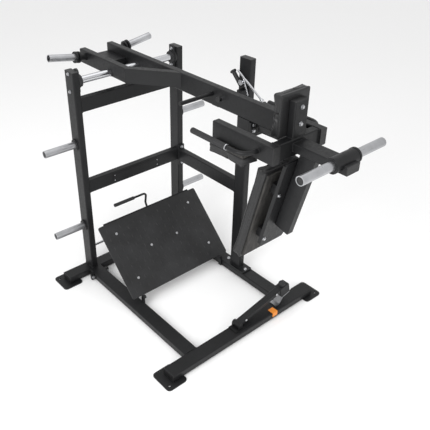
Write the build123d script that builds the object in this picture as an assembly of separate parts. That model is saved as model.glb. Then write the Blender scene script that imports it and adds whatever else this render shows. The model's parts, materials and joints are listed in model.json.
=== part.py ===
from build123d import *
import os
from math import atan2, cos, degrees, hypot, radians, sin

# Pendulum hack squat machine, in millimetres.
# The model is laid out with x = 0 on the centre line, y = 0 midway between the two base
# crossbars and z = 0 on the floor. +Y points to the uprights, +X to the post with the lock.
# At the end everything is shifted along Y, so that the origin is under the box's centre.

# ---- Steel sections ----
TUBE_DEEP = 100.0          # long side of the rectangular tube
TUBE_THIN = 50.0           # short side of the rectangular tube
TUBE_WALL = 4.0
TUBE_CORNER = 7.0          # outside corner radius of the tube
CAP = 4.0                  # thickness of an end cap
CAP_REACH = 14.0           # length of the cap's plug inside the tube
CAP_ROUND = 1.5            # rounding of the cap's outer edge
FLANGE = 12.0              # thickness of a bolted flange plate
RUN_GAP = 0.05             # radial clearance of a running fit
FREE_GAP = 0.3             # clearance between faces that slide past each other
BOLT_HEAD = 9.5            # half the width across a bolt head's corners
BOLT_HEAD_TALL = 7.0
WASHER_R = 12.0
WASHER_TALL = 2.0

# ---- Base ----
BASE_WIDTH = 1292.0        # length of the front and rear crossbars
BASE_LENGTH = 1240.0       # between the centre lines of the crossbars
RAIL_SPACING = 856.0       # between the centre lines of the side rails
FOOT_LONG = 152.0
FOOT_WIDE = 176.0
FOOT_THICK = 8.0
FOOT_CORNER = 25.0
FOOT_OVERHANG = 69.0       # how far a foot stands out past the crossbar's end
FOOT_BOLT_X = 684.0        # floor bolt holes, from the centre line
FOOT_BOLT_Y = 675.0
FOOT_BOLT_R = 7.0
RAIL_STUB = 58.0           # rear stub that each rail bolts to

# ---- Uprights and crossbeams ----
UPRIGHT_TOP = 1604.0
TOP_BEAM_Z = 1379.0
MID_BEAM_Z = 762.0
PLATE_LONG = 410.0         # blank plate on the middle beam
PLATE_TALL = 64.0
PLATE_THICK = 3.0

# ---- Front post and side brace ----
POST_Y = -110.0
POST_TOP = 1696.0
POST_FOOT_LONG = 226.0
POST_FOOT_WIDE = 96.0
POST_FOOT_THICK = 10.0
POST_BOLT_REACH = 92.0
BRACE_Z = 752.0
BRACE_FLANGE_EDGE = 36.0   # flange above and below the brace's tube
BRACE_BOLT_EDGE = 17.0     # bolt above and below the brace's tube

# ---- Plate storage horns ----
HORN_R = 25.0
HORN_WALL = 4.0
HORN_CORE_R = 24.0         # reduced radius where a horn sits in its sleeve or collars
HORN_LONG = 240.0
HORN_LOW_Z = 433.0
HORN_HIGH_Z = 1092.0
COLLAR_R = 40.0
COLLAR_LONG = 12.0
PLUG_LONG = 12.0
PLUG_RECESS = 3.0

# ---- Pivot ----
PIVOT_Z = 1532.0
SHAFT_R = 25.0
SHAFT_WALL = 6.0
SHAFT_END_GAP = 3.0        # shaft end to the upright's face
BEARING_THICK = 14.0
BEARING_BOSS_R = 42.0
BEARING_BOSS_LONG = 30.0
BEARING_FLANGE_R = 48.0
BEARING_EAR_WIDE = 50.0
BEARING_BOLT = 60.0        # bolt distance above and below the pivot

# ---- Pendulum arm ----
ARM_SPREAD = 229.0         # between the centre lines of the two rear tubes
ARM_TALL = 120.0
ARM_TOP = 1606.0
ARM_BEHIND_PIVOT = 376.0
ARM_FRONT_END = -790.0
LEFT_TUBE_FRONT = 446.0
DIAGONAL_REACH = 299.0     # how far forward the diagonal meets the main arm
DIAGONAL_SHOULDER = 17.0
WEIGHT_BOX_BEHIND = 145.0  # box's front behind the pivot
WEIGHT_BOX_LONG = 225.0
WEIGHT_BOX_LOW = 1499.0
WEIGHT_BOX_TALL = 50.0
WEIGHT_BOX_WALL = 6.0

# ---- Tilted loading horns at the rear of the pendulum ----
REAR_HORN_BEHIND = 309.0   # horns behind the pivot
REAR_HORN_Z = 1562.0
REAR_HORN_RISE = 9.5       # degrees above level
REAR_HORN_ROOT = 88.0      # length of the dark root before the collar
REAR_HORN_LONG = 200.0

# ---- Carriage at the front of the pendulum ----
YOKE_Y = -900.0
CARRIAGE_Z = 1528.0        # centre height of the yoke and shoulder tubes
SHOULDER_SPREAD = 362.0    # between the centre lines of the shoulder tubes
SHOULDER_FRONT = -933.0
SHOULDER_REAR = -490.0
NOSE_TOP = 1565.0
HANGER_LOW = 1378.0
BEAM_FRONT = -1262.0
BEAM_Z = 1532.0
SLEEVE_Y = -1203.0
SLEEVE_Z = 1555.0
SLEEVE_R = 40.0
SLEEVE_HALF = 80.0
FRONT_COLLAR_R = 42.0
FRONT_HORN_HALF = 317.0
HEAD_POST_DEEP = 45.0
HEAD_POST_TOP = 1773.0
HEAD_BOLT_LOW = 1650.0
HEAD_BOLT_HIGH = 1741.0

# ---- Pads ----
HEAD_PAD_WIDE = 226.0
HEAD_PAD_THICK = 61.0
HEAD_PAD_LOW = 1570.0
HEAD_PAD_TALL = 246.0
SHOULDER_PAD_WIDE = 125.0
SHOULDER_PAD_X = 187.5
SHOULDER_PAD_THICK = 54.0
SHOULDER_PAD_LONG = 270.0
SHOULDER_PAD_REAR = -500.0
PAD_ROUND = 12.0           # rounding of every pad's edges
PAD_BOARD = 12.0           # thickness of the board behind a pad
SHOULDER_BOARD_INSET = 8.0
BOARD_INSET = 22.0
BACK_PAD_WIDE = 294.0
BACK_PAD_THICK = 70.0
BACK_PAD_LONG = 670.0
BACK_PAD_LOW_Y = -610.0    # lower edge of the face that the user leans on
BACK_PAD_LOW_Z = 746.0
BACK_PAD_LEAN = 14.0       # degrees from upright
PAD_STANDOFF = 71.0        # pad board to spine
SPINE_LOW = 305.0          # along the pad, from its lower edge
CARRIER_WIDE = 200.0
CARRIER_LOW = 150.0
CARRIER_HIGH = 775.0
CARRIER_THICK = 8.0
CARRIER_RIM = 14.0         # height of the folded rims
CARRIER_CORNER = 24.0
BLOCK_WIDE = 60.0
BLOCK_TALL = 64.0
BLOCK_X = 70.0
BLOCK_LOW_U = 215.0
BLOCK_HIGH_U = 550.0

# ---- Handles ----
HANDLE_X = 300.0
HANDLE_ROOT_Y = -830.0
HANDLE_END_Y = -424.0
HANDLE_R = 12.5
HANDLE_BEND = 75.0
GRIP_R = 17.0
GRIP_LONG = 272.0
GRIP_END = 4.0             # thickness of a grip's closed end
RING_R = 18.0              # bright ring at the grip's root
RING_LONG = 6.0
HAND_BAR_Y = -153.0
HAND_BAR_Z = 1557.0
HAND_BAR_END = -165.0

# ---- Pop pin on the arm ----
PIN_Y = -243.0
PIN_Z = 1555.0
PIN_R = 8.0
PIN_COLLAR_R = 15.0
PIN_COLLAR_LONG = 18.0
KNOB_R = 17.0
KNOB_LONG = 20.0
KNOB_ROUND = 3.0

# ---- Lock between post and arm ----
LOCK_Y = -128.0
LOCK_Z = 1486.0
LOCK_R = 11.0
LOCK_TIP_X = 190.0
GUIDE_SIDE = 40.0
GUIDE_LONG = 60.0
GUIDE_END_GAP = 4.0
CATCH_SIDE = 60.0
CATCH_LONG = 30.0
CATCH_PLAY = 1.5
LEVER_Y = -118.0
LEVER_Z = 1552.0
LEVER_X = 375.0
LEVER_HUB_R = 18.0
LEVER_HUB_LONG = 42.0
LEVER_ROD_R = 7.0
LINK_ROD_R = 4.5
LEVER_GRIP_R = 14.0
LEVER_KNOB_R = 21.0
LEVER_KNOB_ROUND = 5.0
# Ends of the lever's rods and its grip in the plane x = LEVER_X, as (y, z).
LEVER_ROD_HIGH = (-82.0, 1619.0)
LEVER_ROD_LOW = (-300.0, 1483.0)
LEVER_GRIP_HIGH = (-31.0, 1608.0)
LEVER_GRIP_LOW = (-112.0, 1526.0)
LINK_HIGH = (-124.0, 1592.0)
LINK_LOW = (-176.0, 1479.0)

# ---- Foot plate ----
DECK_WIDE = 898.0
DECK_LOW_Y = 29.0          # lower edge of the standing surface
DECK_LOW_Z = 97.0
DECK_LONG = 570.0
DECK_SLOPE = 44.3          # degrees from level
DECK_THICK = 8.0
DECK_CORNER = 14.0
DECK_LIP = 26.0            # folded lip along the lower edge
DECK_BAR_WIDE = 784.0
DECK_BAR_TALL = 26.0
DECK_BAR_PROUD = 12.0
DECK_BAR_THICK = 14.0
RIB_X = 337.0
RIB_WIDE = 40.0
RIB_DEEP = 45.0
RIB_START = 70.0
RIB_LONG = 440.0
RIB_BAR_AT = 255.0         # cross tube that joins the ribs, along the deck
DECK_BOLT_X = 337.0
DECK_BOLT_LOW = 125.0
DECK_BOLT_HIGH = 480.0
DECK_BOLT_MID_X = 120.0
DECK_BOLT_MID = 300.0
DOME_TALL = 3.0            # low round bolt heads on the standing surface
DOME_ROUND = 2.0
TILT_PIN_R = 10.0
TILT_EAR_R = 14.0
TILT_EAR_THICK = 12.0
TILT_Z_ABOVE_BASE = 27.0   # tilt axis above the rails
TILT_WEB_REACH = 44.0      # how far the webs reach behind the tilt axis
TILT_EAR_LOW = 12.0        # height of the ears' lower ends above the floor
TILT_BACK = 9.0            # tilt axis in front of the deck's lower edge

# ---- Adjusting lever behind the foot plate ----
PROP_ROD_R = 10.0
PROP_ROD_AHEAD = 30.0      # rod in front of the uprights' centre line
PROP_ROD_Z = 245.0
PROP_PIVOT_Y = 440.0
PROP_PIVOT_Z = 412.0
PROP_PIN_R = 7.0
PROP_WIDE = 20.0
PROP_X = 15.0
PROP_DEEP = 34.0
PROP_EAR_THICK = 10.0
PROP_EAR_LONG = 90.0       # ear's reach in front of the pin, cut off at the deck
PROP_BOSS_R = 14.0
PROP_BEND = 30.0           # bend radius of the handle
PROP_HANDLE_R = 8.0
PROP_GRIP_R = 13.0
PROP_HANDLE_Y = 480.0
PROP_HANDLE_Z = 594.0
PROP_GRIP_INNER = -96.0
PROP_GRIP_LONG = 175.0
PROP_BEND_Y = 494.0
PROP_BEND_Z = 505.0

# ---- Swing-up stop on the front crossbar ----
STOP_X = -45.0
STOP_INSET = 15.0          # pin behind the front crossbar's centre line
STOP_HUB_R = 20.0
STOP_PIN_R = 8.0
STOP_PIN_ABOVE = 28.0      # pin above the crossbar's top
STOP_RISE = 12.0           # degrees that the parked stop arm slopes up
STOP_WIDE = 48.0
STOP_DEEP = 36.0
STOP_LONG = 400.0
STOP_EAR_THICK = 8.0
STOP_SIDE_GAP = 1.0        # between the stop arm's hub and each ear
STOP_PLATE = 6.0           # thickness of the bracket's base plate
STOP_PLATE_LEFT = 50.0     # base plate's reach to either side of the pin
STOP_PLATE_RIGHT = 95.0
STOP_BLOCK_ROUND = 8.0
REST_THICK = 6.0           # bent plate under the parked block
REST_FOOT = 62.0
REST_SLOPE = 20.0
STOP_BLOCK_LONG = 84.0
STOP_BLOCK_UP = 22.0
STOP_BLOCK_DOWN = 58.0
STOP_BLOCK_WIDE = 56.0
BUMPER_R = 24.0
BUMPER_TALL = 22.0
BUMPER_ROUND = 6.0
TAB_X = 258.0
TAB_WIDE = 46.0
TAB_DEEP = 46.0
TAB_DROP = 30.0
TAB_THICK = 3.0

# ---- Sizes that follow from the above ----
BASE_TOP = FOOT_THICK + TUBE_THIN
BASE_Z = FOOT_THICK + TUBE_THIN / 2
CROSSBAR_Y = BASE_LENGTH / 2
BRACE_FLANGE_TALL = TUBE_DEEP + 2 * BRACE_FLANGE_EDGE
BRACE_BOLT_REACH = TUBE_DEEP / 2 + BRACE_BOLT_EDGE
ARM_REAR_END = CROSSBAR_Y + ARM_BEHIND_PIVOT
WEIGHT_BOX_FRONT = CROSSBAR_Y + WEIGHT_BOX_BEHIND
WEIGHT_BOX_REAR = WEIGHT_BOX_FRONT + WEIGHT_BOX_LONG
REAR_HORN_Y = CROSSBAR_Y + REAR_HORN_BEHIND
PROP_ROD_Y = CROSSBAR_Y - PROP_ROD_AHEAD
STOP_Y = STOP_INSET - CROSSBAR_Y
RAIL_X = RAIL_SPACING / 2
UPRIGHT_INNER = RAIL_X - TUBE_THIN / 2
UPRIGHT_OUTER = RAIL_X + TUBE_THIN / 2
UPRIGHT_FRONT = CROSSBAR_Y - TUBE_DEEP / 2
BEAM_Y = UPRIGHT_FRONT + TUBE_THIN / 2
PIVOT_Y = CROSSBAR_Y
ARM_X = ARM_SPREAD / 2
ARM_INNER = ARM_X - TUBE_THIN / 2
ARM_OUTER = ARM_X + TUBE_THIN / 2
ARM_LOW = ARM_TOP - ARM_TALL
REAR_TUBE_Z = ARM_TOP - TUBE_DEEP / 2
YOKE_FRONT = YOKE_Y - TUBE_THIN / 2
YOKE_REAR = YOKE_Y + TUBE_THIN / 2
CARRIAGE_TOP = CARRIAGE_Z + TUBE_DEEP / 2
CARRIAGE_LOW = CARRIAGE_Z - TUBE_DEEP / 2
SHOULDER_X = SHOULDER_SPREAD / 2
SHOULDER_INNER = SHOULDER_X - TUBE_THIN / 2
SHOULDER_OUTER = SHOULDER_X + TUBE_THIN / 2
HANGER_Y = SHOULDER_REAR + FLANGE + TUBE_DEEP / 2
HANGER_FRONT = HANGER_Y - TUBE_DEEP / 2
BEAM_LOW = BEAM_Z - TUBE_THIN / 2
TILT_Y = DECK_LOW_Y - TILT_BACK
TILT_Z = BASE_TOP + TILT_Z_ABOVE_BASE
STOP_Z = BASE_TOP + STOP_PIN_ABOVE
FRONT_LIMIT = BEAM_FRONT - CAP
REAR_LIMIT = ARM_REAR_END + CAP
ORIGIN_SHIFT = -(FRONT_LIMIT + REAR_LIMIT) / 2

SIDES = {"left": -1, "right": 1}
pieces = {}


def along(start, end):
    """Plane at start that looks towards end, with its own x level and its own y upwards."""
    direction = (Vector(*end) - Vector(*start)).normalized()
    level = Vector(0, 0, 1).cross(direction)
    if level.length < 1e-6:
        level = Vector(1, 0, 0)
    return Plane(origin=start, x_dir=level, z_dir=direction)


def span(start, end):
    return (Vector(*end) - Vector(*start)).length


def section(wide, tall, wall=TUBE_WALL):
    """Hollow rectangular section with rounded corners."""
    outer = RectangleRounded(wide, tall, TUBE_CORNER)
    inner = RectangleRounded(wide - 2 * wall, tall - 2 * wall, TUBE_CORNER - wall)
    return outer - inner


def tube(start, end, wide, tall):
    """Rectangular tube; wide is its level side and tall its upright side."""
    return extrude(along(start, end) * section(wide, tall), span(start, end))


def rod(start, end, radius):
    return extrude(along(start, end) * Circle(radius), span(start, end))


def pipe(start, end, radius, bore):
    return extrude(along(start, end) * (Circle(radius) - Circle(bore)), span(start, end))


def block(x0, x1, y0, y1, z0, z1):
    """Plain box between two corners."""
    size = Box(x1 - x0, y1 - y0, z1 - z0)
    return Pos((x0 + x1) / 2, (y0 + y1) / 2, (z0 + z1) / 2) * size


def cap(end, outward, wide, tall):
    """Cover over a tube's end with a plug that is a loose fit inside the tube."""
    tip = tuple(Vector(*end) + Vector(*outward))
    face = along(end, tip)
    cover = extrude(face * RectangleRounded(wide, tall, TUBE_CORNER), CAP)
    far_side = cover.faces().filter_by(Axis(end, outward)).sort_by(Axis(end, outward))[-1]
    cover = fillet(far_side.edges(), CAP_ROUND)
    bore_wide = wide - 2 * TUBE_WALL - 2 * RUN_GAP
    bore_tall = tall - 2 * TUBE_WALL - 2 * RUN_GAP
    ring = RectangleRounded(bore_wide, bore_tall, TUBE_CORNER - TUBE_WALL)
    return cover + extrude(face * ring, -CAP_REACH)


def bolt(seat, outward):
    """Washer and hexagon head that stand on a face."""
    face = along(seat, tuple(Vector(*seat) + Vector(*outward)))
    washer = extrude(face * Circle(WASHER_R), WASHER_TALL)
    head = extrude(face.offset(WASHER_TALL) * RegularPolygon(BOLT_HEAD, 6), BOLT_HEAD_TALL)
    return washer + head


def group(shapes):
    return Compound(children=list(shapes))


def rounded_path(points, radius):
    return FilletPolyline(*points, radius=radius)


def bent_rod(points, bend, radius):
    """Round bar along straight runs joined by arcs."""
    path = rounded_path(points, bend)
    return sweep(along(points[0], points[1]) * Circle(radius), path=path)


# ---------------------------------------------------------------- base frame
def base():
    for name, side in (("front", -1), ("rear", 1)):
        y = side * CROSSBAR_Y
        pieces[f"base_crossbar_{name}"] = tube(
            (-BASE_WIDTH / 2, y, BASE_Z), (BASE_WIDTH / 2, y, BASE_Z), TUBE_DEEP, TUBE_THIN
        )
    front = -CROSSBAR_Y + TUBE_DEEP / 2
    rear = CROSSBAR_Y - TUBE_DEEP / 2
    joint = rear - RAIL_STUB
    stubs = []
    flanges = []
    flange_bolts = []
    for name, side in SIDES.items():
        x = side * RAIL_X
        pieces[f"base_rail_{name}"] = tube(
            (x, front, BASE_Z), (x, joint - FLANGE, BASE_Z), TUBE_DEEP, TUBE_THIN
        )
        stubs.append(tube((x, joint + FLANGE, BASE_Z), (x, rear, BASE_Z), TUBE_DEEP, TUBE_THIN))
        half = TUBE_DEEP / 2 + 2 * WASHER_R
        flanges.append(block(x - half, x + half, joint - FLANGE, joint, FOOT_THICK, BASE_TOP))
        stubs[-1] += block(x - half, x + half, joint, joint + FLANGE, FOOT_THICK, BASE_TOP)
        for edge in (-1, 1):
            bolt_x = x + edge * (half - WASHER_R)
            flange_bolts.append(bolt((bolt_x, joint - FLANGE, BASE_Z), (0, -1, 0)))
            flange_bolts.append(bolt((bolt_x, joint + FLANGE, BASE_Z), (0, 1, 0)))
    pieces["rail_stubs"] = group(stubs)
    pieces["rail_flanges"] = group(flanges)
    pieces["rail_flange_bolts"] = group(flange_bolts)


def feet():
    plates = []
    foot_x = BASE_WIDTH / 2 + FOOT_OVERHANG - FOOT_LONG / 2
    for sx in (-1, 1):
        for sy in (-1, 1):
            plate = extrude(RectangleRounded(FOOT_LONG, FOOT_WIDE, FOOT_CORNER), FOOT_THICK)
            plate = Pos(sx * foot_x, sy * CROSSBAR_Y, 0) * plate
            hole = Pos(sx * FOOT_BOLT_X, sy * FOOT_BOLT_Y, FOOT_THICK / 2)
            plates.append(plate - hole * Cylinder(FOOT_BOLT_R, 2 * FOOT_THICK))
    pieces["floor_feet"] = group(plates)
    pieces["base_end_caps"] = group(
        cap((sx * BASE_WIDTH / 2, sy * CROSSBAR_Y, BASE_Z), (sx, 0, 0), TUBE_DEEP, TUBE_THIN)
        for sx in (-1, 1)
        for sy in (-1, 1)
    )


# ---------------------------------------------------------------- uprights
def uprights():
    tops = []
    for name, side in SIDES.items():
        x = side * RAIL_X
        pieces[f"upright_{name}"] = tube(
            (x, CROSSBAR_Y, BASE_TOP), (x, CROSSBAR_Y, UPRIGHT_TOP), TUBE_THIN, TUBE_DEEP
        )
        tops.append(cap((x, CROSSBAR_Y, UPRIGHT_TOP), (0, 0, 1), TUBE_THIN, TUBE_DEEP))
    tops.append(cap((RAIL_X, POST_Y, POST_TOP), (0, 0, 1), TUBE_THIN, TUBE_DEEP))
    pieces["post_top_caps"] = group(tops)
    for name, z in (("top", TOP_BEAM_Z), ("middle", MID_BEAM_Z)):
        pieces[f"crossbeam_{name}"] = tube(
            (-UPRIGHT_INNER, BEAM_Y, z), (UPRIGHT_INNER, BEAM_Y, z), TUBE_THIN, TUBE_DEEP
        )
    plate = along((0, UPRIGHT_FRONT, MID_BEAM_Z), (0, UPRIGHT_FRONT - 1, MID_BEAM_Z))
    pieces["blank_plate"] = extrude(plate * RectangleRounded(PLATE_LONG, PLATE_TALL, 8), PLATE_THICK)


def post_and_brace():
    foot_top = BASE_TOP + POST_FOOT_THICK
    pieces["front_post"] = tube(
        (RAIL_X, POST_Y, foot_top), (RAIL_X, POST_Y, POST_TOP), TUBE_THIN, TUBE_DEEP
    )
    foot = Pos(RAIL_X, POST_Y, BASE_TOP) * extrude(
        RectangleRounded(POST_FOOT_WIDE, POST_FOOT_LONG, 10), POST_FOOT_THICK
    )
    pieces["post_foot"] = foot
    brace_rear = UPRIGHT_FRONT - FLANGE
    pieces["side_brace"] = tube(
        (RAIL_X, POST_Y + TUBE_DEEP / 2, BRACE_Z), (RAIL_X, brace_rear, BRACE_Z), TUBE_THIN, TUBE_DEEP
    )
    pieces["brace_flange"] = block(
        UPRIGHT_INNER,
        UPRIGHT_OUTER,
        brace_rear,
        UPRIGHT_FRONT,
        BRACE_Z - BRACE_FLANGE_TALL / 2,
        BRACE_Z + BRACE_FLANGE_TALL / 2,
    )
    bolts = []
    for sign in (-1, 1):
        bolts.append(bolt((RAIL_X, POST_Y + sign * POST_BOLT_REACH, foot_top), (0, 0, 1)))
        bolts.append(bolt((RAIL_X, brace_rear, BRACE_Z + sign * BRACE_BOLT_REACH), (0, -1, 0)))
    pieces["post_bolts"] = group(bolts)


# ---------------------------------------------------------------- storage horns
def storage_horns():
    collars = []
    plugs = []
    for name, side in SIDES.items():
        for level, z in (("low", HORN_LOW_Z), ("high", HORN_HIGH_Z)):
            root = (side * UPRIGHT_OUTER, CROSSBAR_Y, z)
            tip = (side * (UPRIGHT_OUTER + HORN_LONG), CROSSBAR_Y, z)
            collar_end = (side * (UPRIGHT_OUTER + COLLAR_LONG), CROSSBAR_Y, z)
            plug_end = (side * (UPRIGHT_OUTER + HORN_LONG - PLUG_RECESS), CROSSBAR_Y, z)
            plug_start = (side * (UPRIGHT_OUTER + HORN_LONG - PLUG_LONG), CROSSBAR_Y, z)
            pieces[f"storage_horn_{level}_{name}"] = pipe(collar_end, tip, HORN_R, HORN_R - HORN_WALL)
            collars.append(pipe(root, collar_end, COLLAR_R, HORN_R - HORN_WALL))
            plugs.append(rod(plug_start, plug_end, HORN_R - HORN_WALL - RUN_GAP))
    pieces["storage_collars"] = group(collars)
    pieces["storage_plugs"] = group(plugs)


# ---------------------------------------------------------------- pivot bearings
def bearings():
    bolts = []
    for name, side in SIDES.items():
        face = (side * UPRIGHT_INNER, PIVOT_Y, PIVOT_Z)
        inward = along(face, (0, PIVOT_Y, PIVOT_Z))
        outline = SlotCenterToCenter(2 * BEARING_BOLT, BEARING_EAR_WIDE, rotation=90)
        outline = outline + Circle(BEARING_FLANGE_R)
        housing = extrude(inward * outline, BEARING_THICK)
        housing = housing + extrude(inward * Circle(BEARING_BOSS_R), BEARING_BOSS_LONG)
        pieces[f"bearing_{name}"] = housing - extrude(
            inward * Circle(SHAFT_R + RUN_GAP), BEARING_BOSS_LONG
        )
        for sign in (-1, 1):
            z = PIVOT_Z + sign * BEARING_BOLT
            seat_x = side * (UPRIGHT_INNER - BEARING_THICK)
            bolts.append(bolt((seat_x, PIVOT_Y, z), (-side, 0, 0)))
            bolts.append(bolt((side * UPRIGHT_OUTER, PIVOT_Y, z), (side, 0, 0)))
    pieces["bearing_bolts"] = group(bolts)


# ---------------------------------------------------------------- pendulum
def pendulum_arm():
    half = UPRIGHT_INNER - SHAFT_END_GAP
    ends = ((-half, PIVOT_Y, PIVOT_Z), (half, PIVOT_Y, PIVOT_Z))
    pieces["pivot_shaft"] = pipe(*ends, SHAFT_R, SHAFT_R - SHAFT_WALL)
    through = rod(*ends, SHAFT_R)
    arm_z = ARM_TOP - ARM_TALL / 2
    main = tube((ARM_X, ARM_FRONT_END, arm_z), (ARM_X, ARM_REAR_END, arm_z), TUBE_THIN, ARM_TALL)
    pieces["main_arm"] = main - through
    left_front = (-ARM_X, LEFT_TUBE_FRONT, REAR_TUBE_Z)
    left_rear = (-ARM_X, ARM_REAR_END, REAR_TUBE_Z)
    rear = tube(left_front, left_rear, TUBE_THIN, TUBE_DEEP)
    pieces["rear_tube_left"] = rear - through
    nose_z = (ARM_LOW + NOSE_TOP) / 2
    pieces["arm_nose"] = tube(
        (ARM_X, YOKE_REAR, nose_z), (ARM_X, ARM_FRONT_END, nose_z), TUBE_THIN, NOSE_TOP - ARM_LOW
    )
    pieces["arm_end_caps"] = group(
        (
            cap((ARM_X, ARM_REAR_END, arm_z), (0, 1, 0), TUBE_THIN, ARM_TALL),
            cap((-ARM_X, ARM_REAR_END, REAR_TUBE_Z), (0, 1, 0), TUBE_THIN, TUBE_DEEP),
        )
    )
    shoulder = LEFT_TUBE_FRONT + DIAGONAL_SHOULDER
    corners = (
        (-ARM_OUTER, LEFT_TUBE_FRONT),
        (-ARM_INNER, LEFT_TUBE_FRONT),
        (-ARM_INNER, shoulder),
        (ARM_INNER, shoulder - DIAGONAL_REACH * ARM_SPREAD / (ARM_SPREAD + TUBE_THIN)),
        (ARM_INNER, LEFT_TUBE_FRONT - DIAGONAL_REACH),
    )
    outline = make_face(Polyline(*corners, close=True))
    low = Plane.XY.offset(ARM_TOP - TUBE_DEEP)
    shell = extrude(low * outline, TUBE_DEEP)
    hollow = extrude(low.offset(TUBE_WALL) * offset(outline, -TUBE_WALL), TUBE_DEEP - 2 * TUBE_WALL)
    pieces["arm_diagonal"] = shell - hollow
    high = WEIGHT_BOX_LOW + WEIGHT_BOX_TALL
    wall = WEIGHT_BOX_WALL
    casing = block(-ARM_INNER, ARM_INNER, WEIGHT_BOX_FRONT, WEIGHT_BOX_REAR, WEIGHT_BOX_LOW, high)
    inside = block(
        -ARM_INNER + wall,
        ARM_INNER - wall,
        WEIGHT_BOX_FRONT + wall,
        WEIGHT_BOX_REAR - wall,
        WEIGHT_BOX_LOW + wall,
        high - wall,
    )
    pieces["weight_box"] = casing - inside


def rear_horns():
    collars = []
    for name, side in SIDES.items():
        rise = radians(REAR_HORN_RISE)
        outward = Vector(side * cos(rise), 0, sin(rise))
        face = Vector(side * ARM_OUTER, REAR_HORN_Y, REAR_HORN_Z)
        reach = REAR_HORN_ROOT + REAR_HORN_LONG
        behind = tuple(face - outward * 2 * HORN_R)
        stage = tuple(face + outward * REAR_HORN_ROOT)
        ring = tuple(face + outward * (REAR_HORN_ROOT - COLLAR_LONG))
        tip = tuple(face + outward * reach)
        arm_space = block(-ARM_OUTER, ARM_OUTER, 0, 2 * REAR_LIMIT, ARM_LOW - 100, ARM_TOP + 100)
        bore = HORN_R - HORN_WALL
        pieces[f"rear_horn_root_{name}"] = pipe(behind, stage, HORN_CORE_R, bore) - arm_space
        pieces[f"rear_horn_{name}"] = pipe(stage, tip, HORN_R, bore)
        inner_end = tuple(face + outward * (REAR_HORN_ROOT - 3 * COLLAR_LONG))
        outer_end = tuple(face + outward * (REAR_HORN_ROOT - 2 * COLLAR_LONG))
        collars.append(pipe(ring, stage, COLLAR_R, HORN_CORE_R + RUN_GAP))
        collars.append(pipe(inner_end, outer_end, COLLAR_R, HORN_CORE_R + RUN_GAP))
    pieces["rear_horn_collars"] = group(collars)


# ---------------------------------------------------------------- carriage
def carriage():
    yoke_ends = [(side * SHOULDER_INNER, YOKE_Y, CARRIAGE_Z) for side in (-1, 1)]
    pieces["yoke"] = tube(*yoke_ends, TUBE_THIN, TUBE_DEEP)
    caps = []
    for name, side in SIDES.items():
        x = side * SHOULDER_X
        pieces[f"shoulder_tube_{name}"] = tube(
            (x, SHOULDER_FRONT, CARRIAGE_Z), (x, SHOULDER_REAR, CARRIAGE_Z), TUBE_THIN, TUBE_DEEP
        )
        caps.append(cap((x, SHOULDER_FRONT, CARRIAGE_Z), (0, -1, 0), TUBE_THIN, TUBE_DEEP))
    caps.append(cap((-SHOULDER_X, SHOULDER_REAR, CARRIAGE_Z), (0, 1, 0), TUBE_THIN, TUBE_DEEP))
    pieces["shoulder_tube_caps"] = group(caps)
    pieces["arm_hanger"] = tube(
        (ARM_X, HANGER_Y, HANGER_LOW), (ARM_X, HANGER_Y, ARM_LOW), TUBE_THIN, TUBE_DEEP
    )
    step = ARM_LOW - 2 * TUBE_WALL
    low_part = block(
        ARM_INNER, SHOULDER_OUTER, SHOULDER_REAR, HANGER_FRONT, HANGER_LOW + TUBE_WALL, step
    )
    high_part = block(
        ARM_OUTER + TUBE_WALL, SHOULDER_OUTER, SHOULDER_REAR, HANGER_FRONT, step, CARRIAGE_TOP
    )
    pieces["hanger_plate"] = low_part + high_part
    bolts = [bolt((ARM_X, SHOULDER_REAR, step - 1.5 * WASHER_R * n), (0, -1, 0)) for n in (1, 3)]
    pieces["hanger_bolts"] = group(bolts)


def front_beam():
    beam = tube((0, BEAM_FRONT, BEAM_Z), (0, YOKE_FRONT, BEAM_Z), TUBE_DEEP, TUBE_THIN)
    ends = ((-SLEEVE_HALF, SLEEVE_Y, SLEEVE_Z), (SLEEVE_HALF, SLEEVE_Y, SLEEVE_Z))
    pieces["front_beam"] = beam - rod(*ends, SLEEVE_R)
    pieces["front_beam_cap"] = cap((0, BEAM_FRONT, BEAM_Z), (0, -1, 0), TUBE_DEEP, TUBE_THIN)
    pieces["horn_sleeve"] = pipe(*ends, SLEEVE_R, HORN_CORE_R + RUN_GAP)
    bore = HORN_R - HORN_WALL
    core_half = SLEEVE_HALF + COLLAR_LONG
    core_ends = [(side * core_half, SLEEVE_Y, SLEEVE_Z) for side in (-1, 1)]
    horn_ends = [(side * FRONT_HORN_HALF, SLEEVE_Y, SLEEVE_Z) for side in (-1, 1)]
    bar = pipe(*core_ends, HORN_CORE_R, bore)
    for inner, outer in zip(core_ends, horn_ends):
        bar += pipe(inner, outer, HORN_R, bore)
    pieces["front_horn_bar"] = bar
    collars = []
    plugs = []
    for side in (-1, 1):
        start = (side * SLEEVE_HALF, SLEEVE_Y, SLEEVE_Z)
        end = (side * (SLEEVE_HALF + COLLAR_LONG), SLEEVE_Y, SLEEVE_Z)
        collars.append(pipe(start, end, FRONT_COLLAR_R, HORN_CORE_R + RUN_GAP))
        plug_start = (side * (FRONT_HORN_HALF - PLUG_LONG), SLEEVE_Y, SLEEVE_Z)
        plug_end = (side * (FRONT_HORN_HALF - PLUG_RECESS), SLEEVE_Y, SLEEVE_Z)
        plugs.append(rod(plug_start, plug_end, HORN_R - HORN_WALL - RUN_GAP))
    pieces["front_horn_collars"] = group(collars)
    pieces["front_horn_plugs"] = group(plugs)


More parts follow.
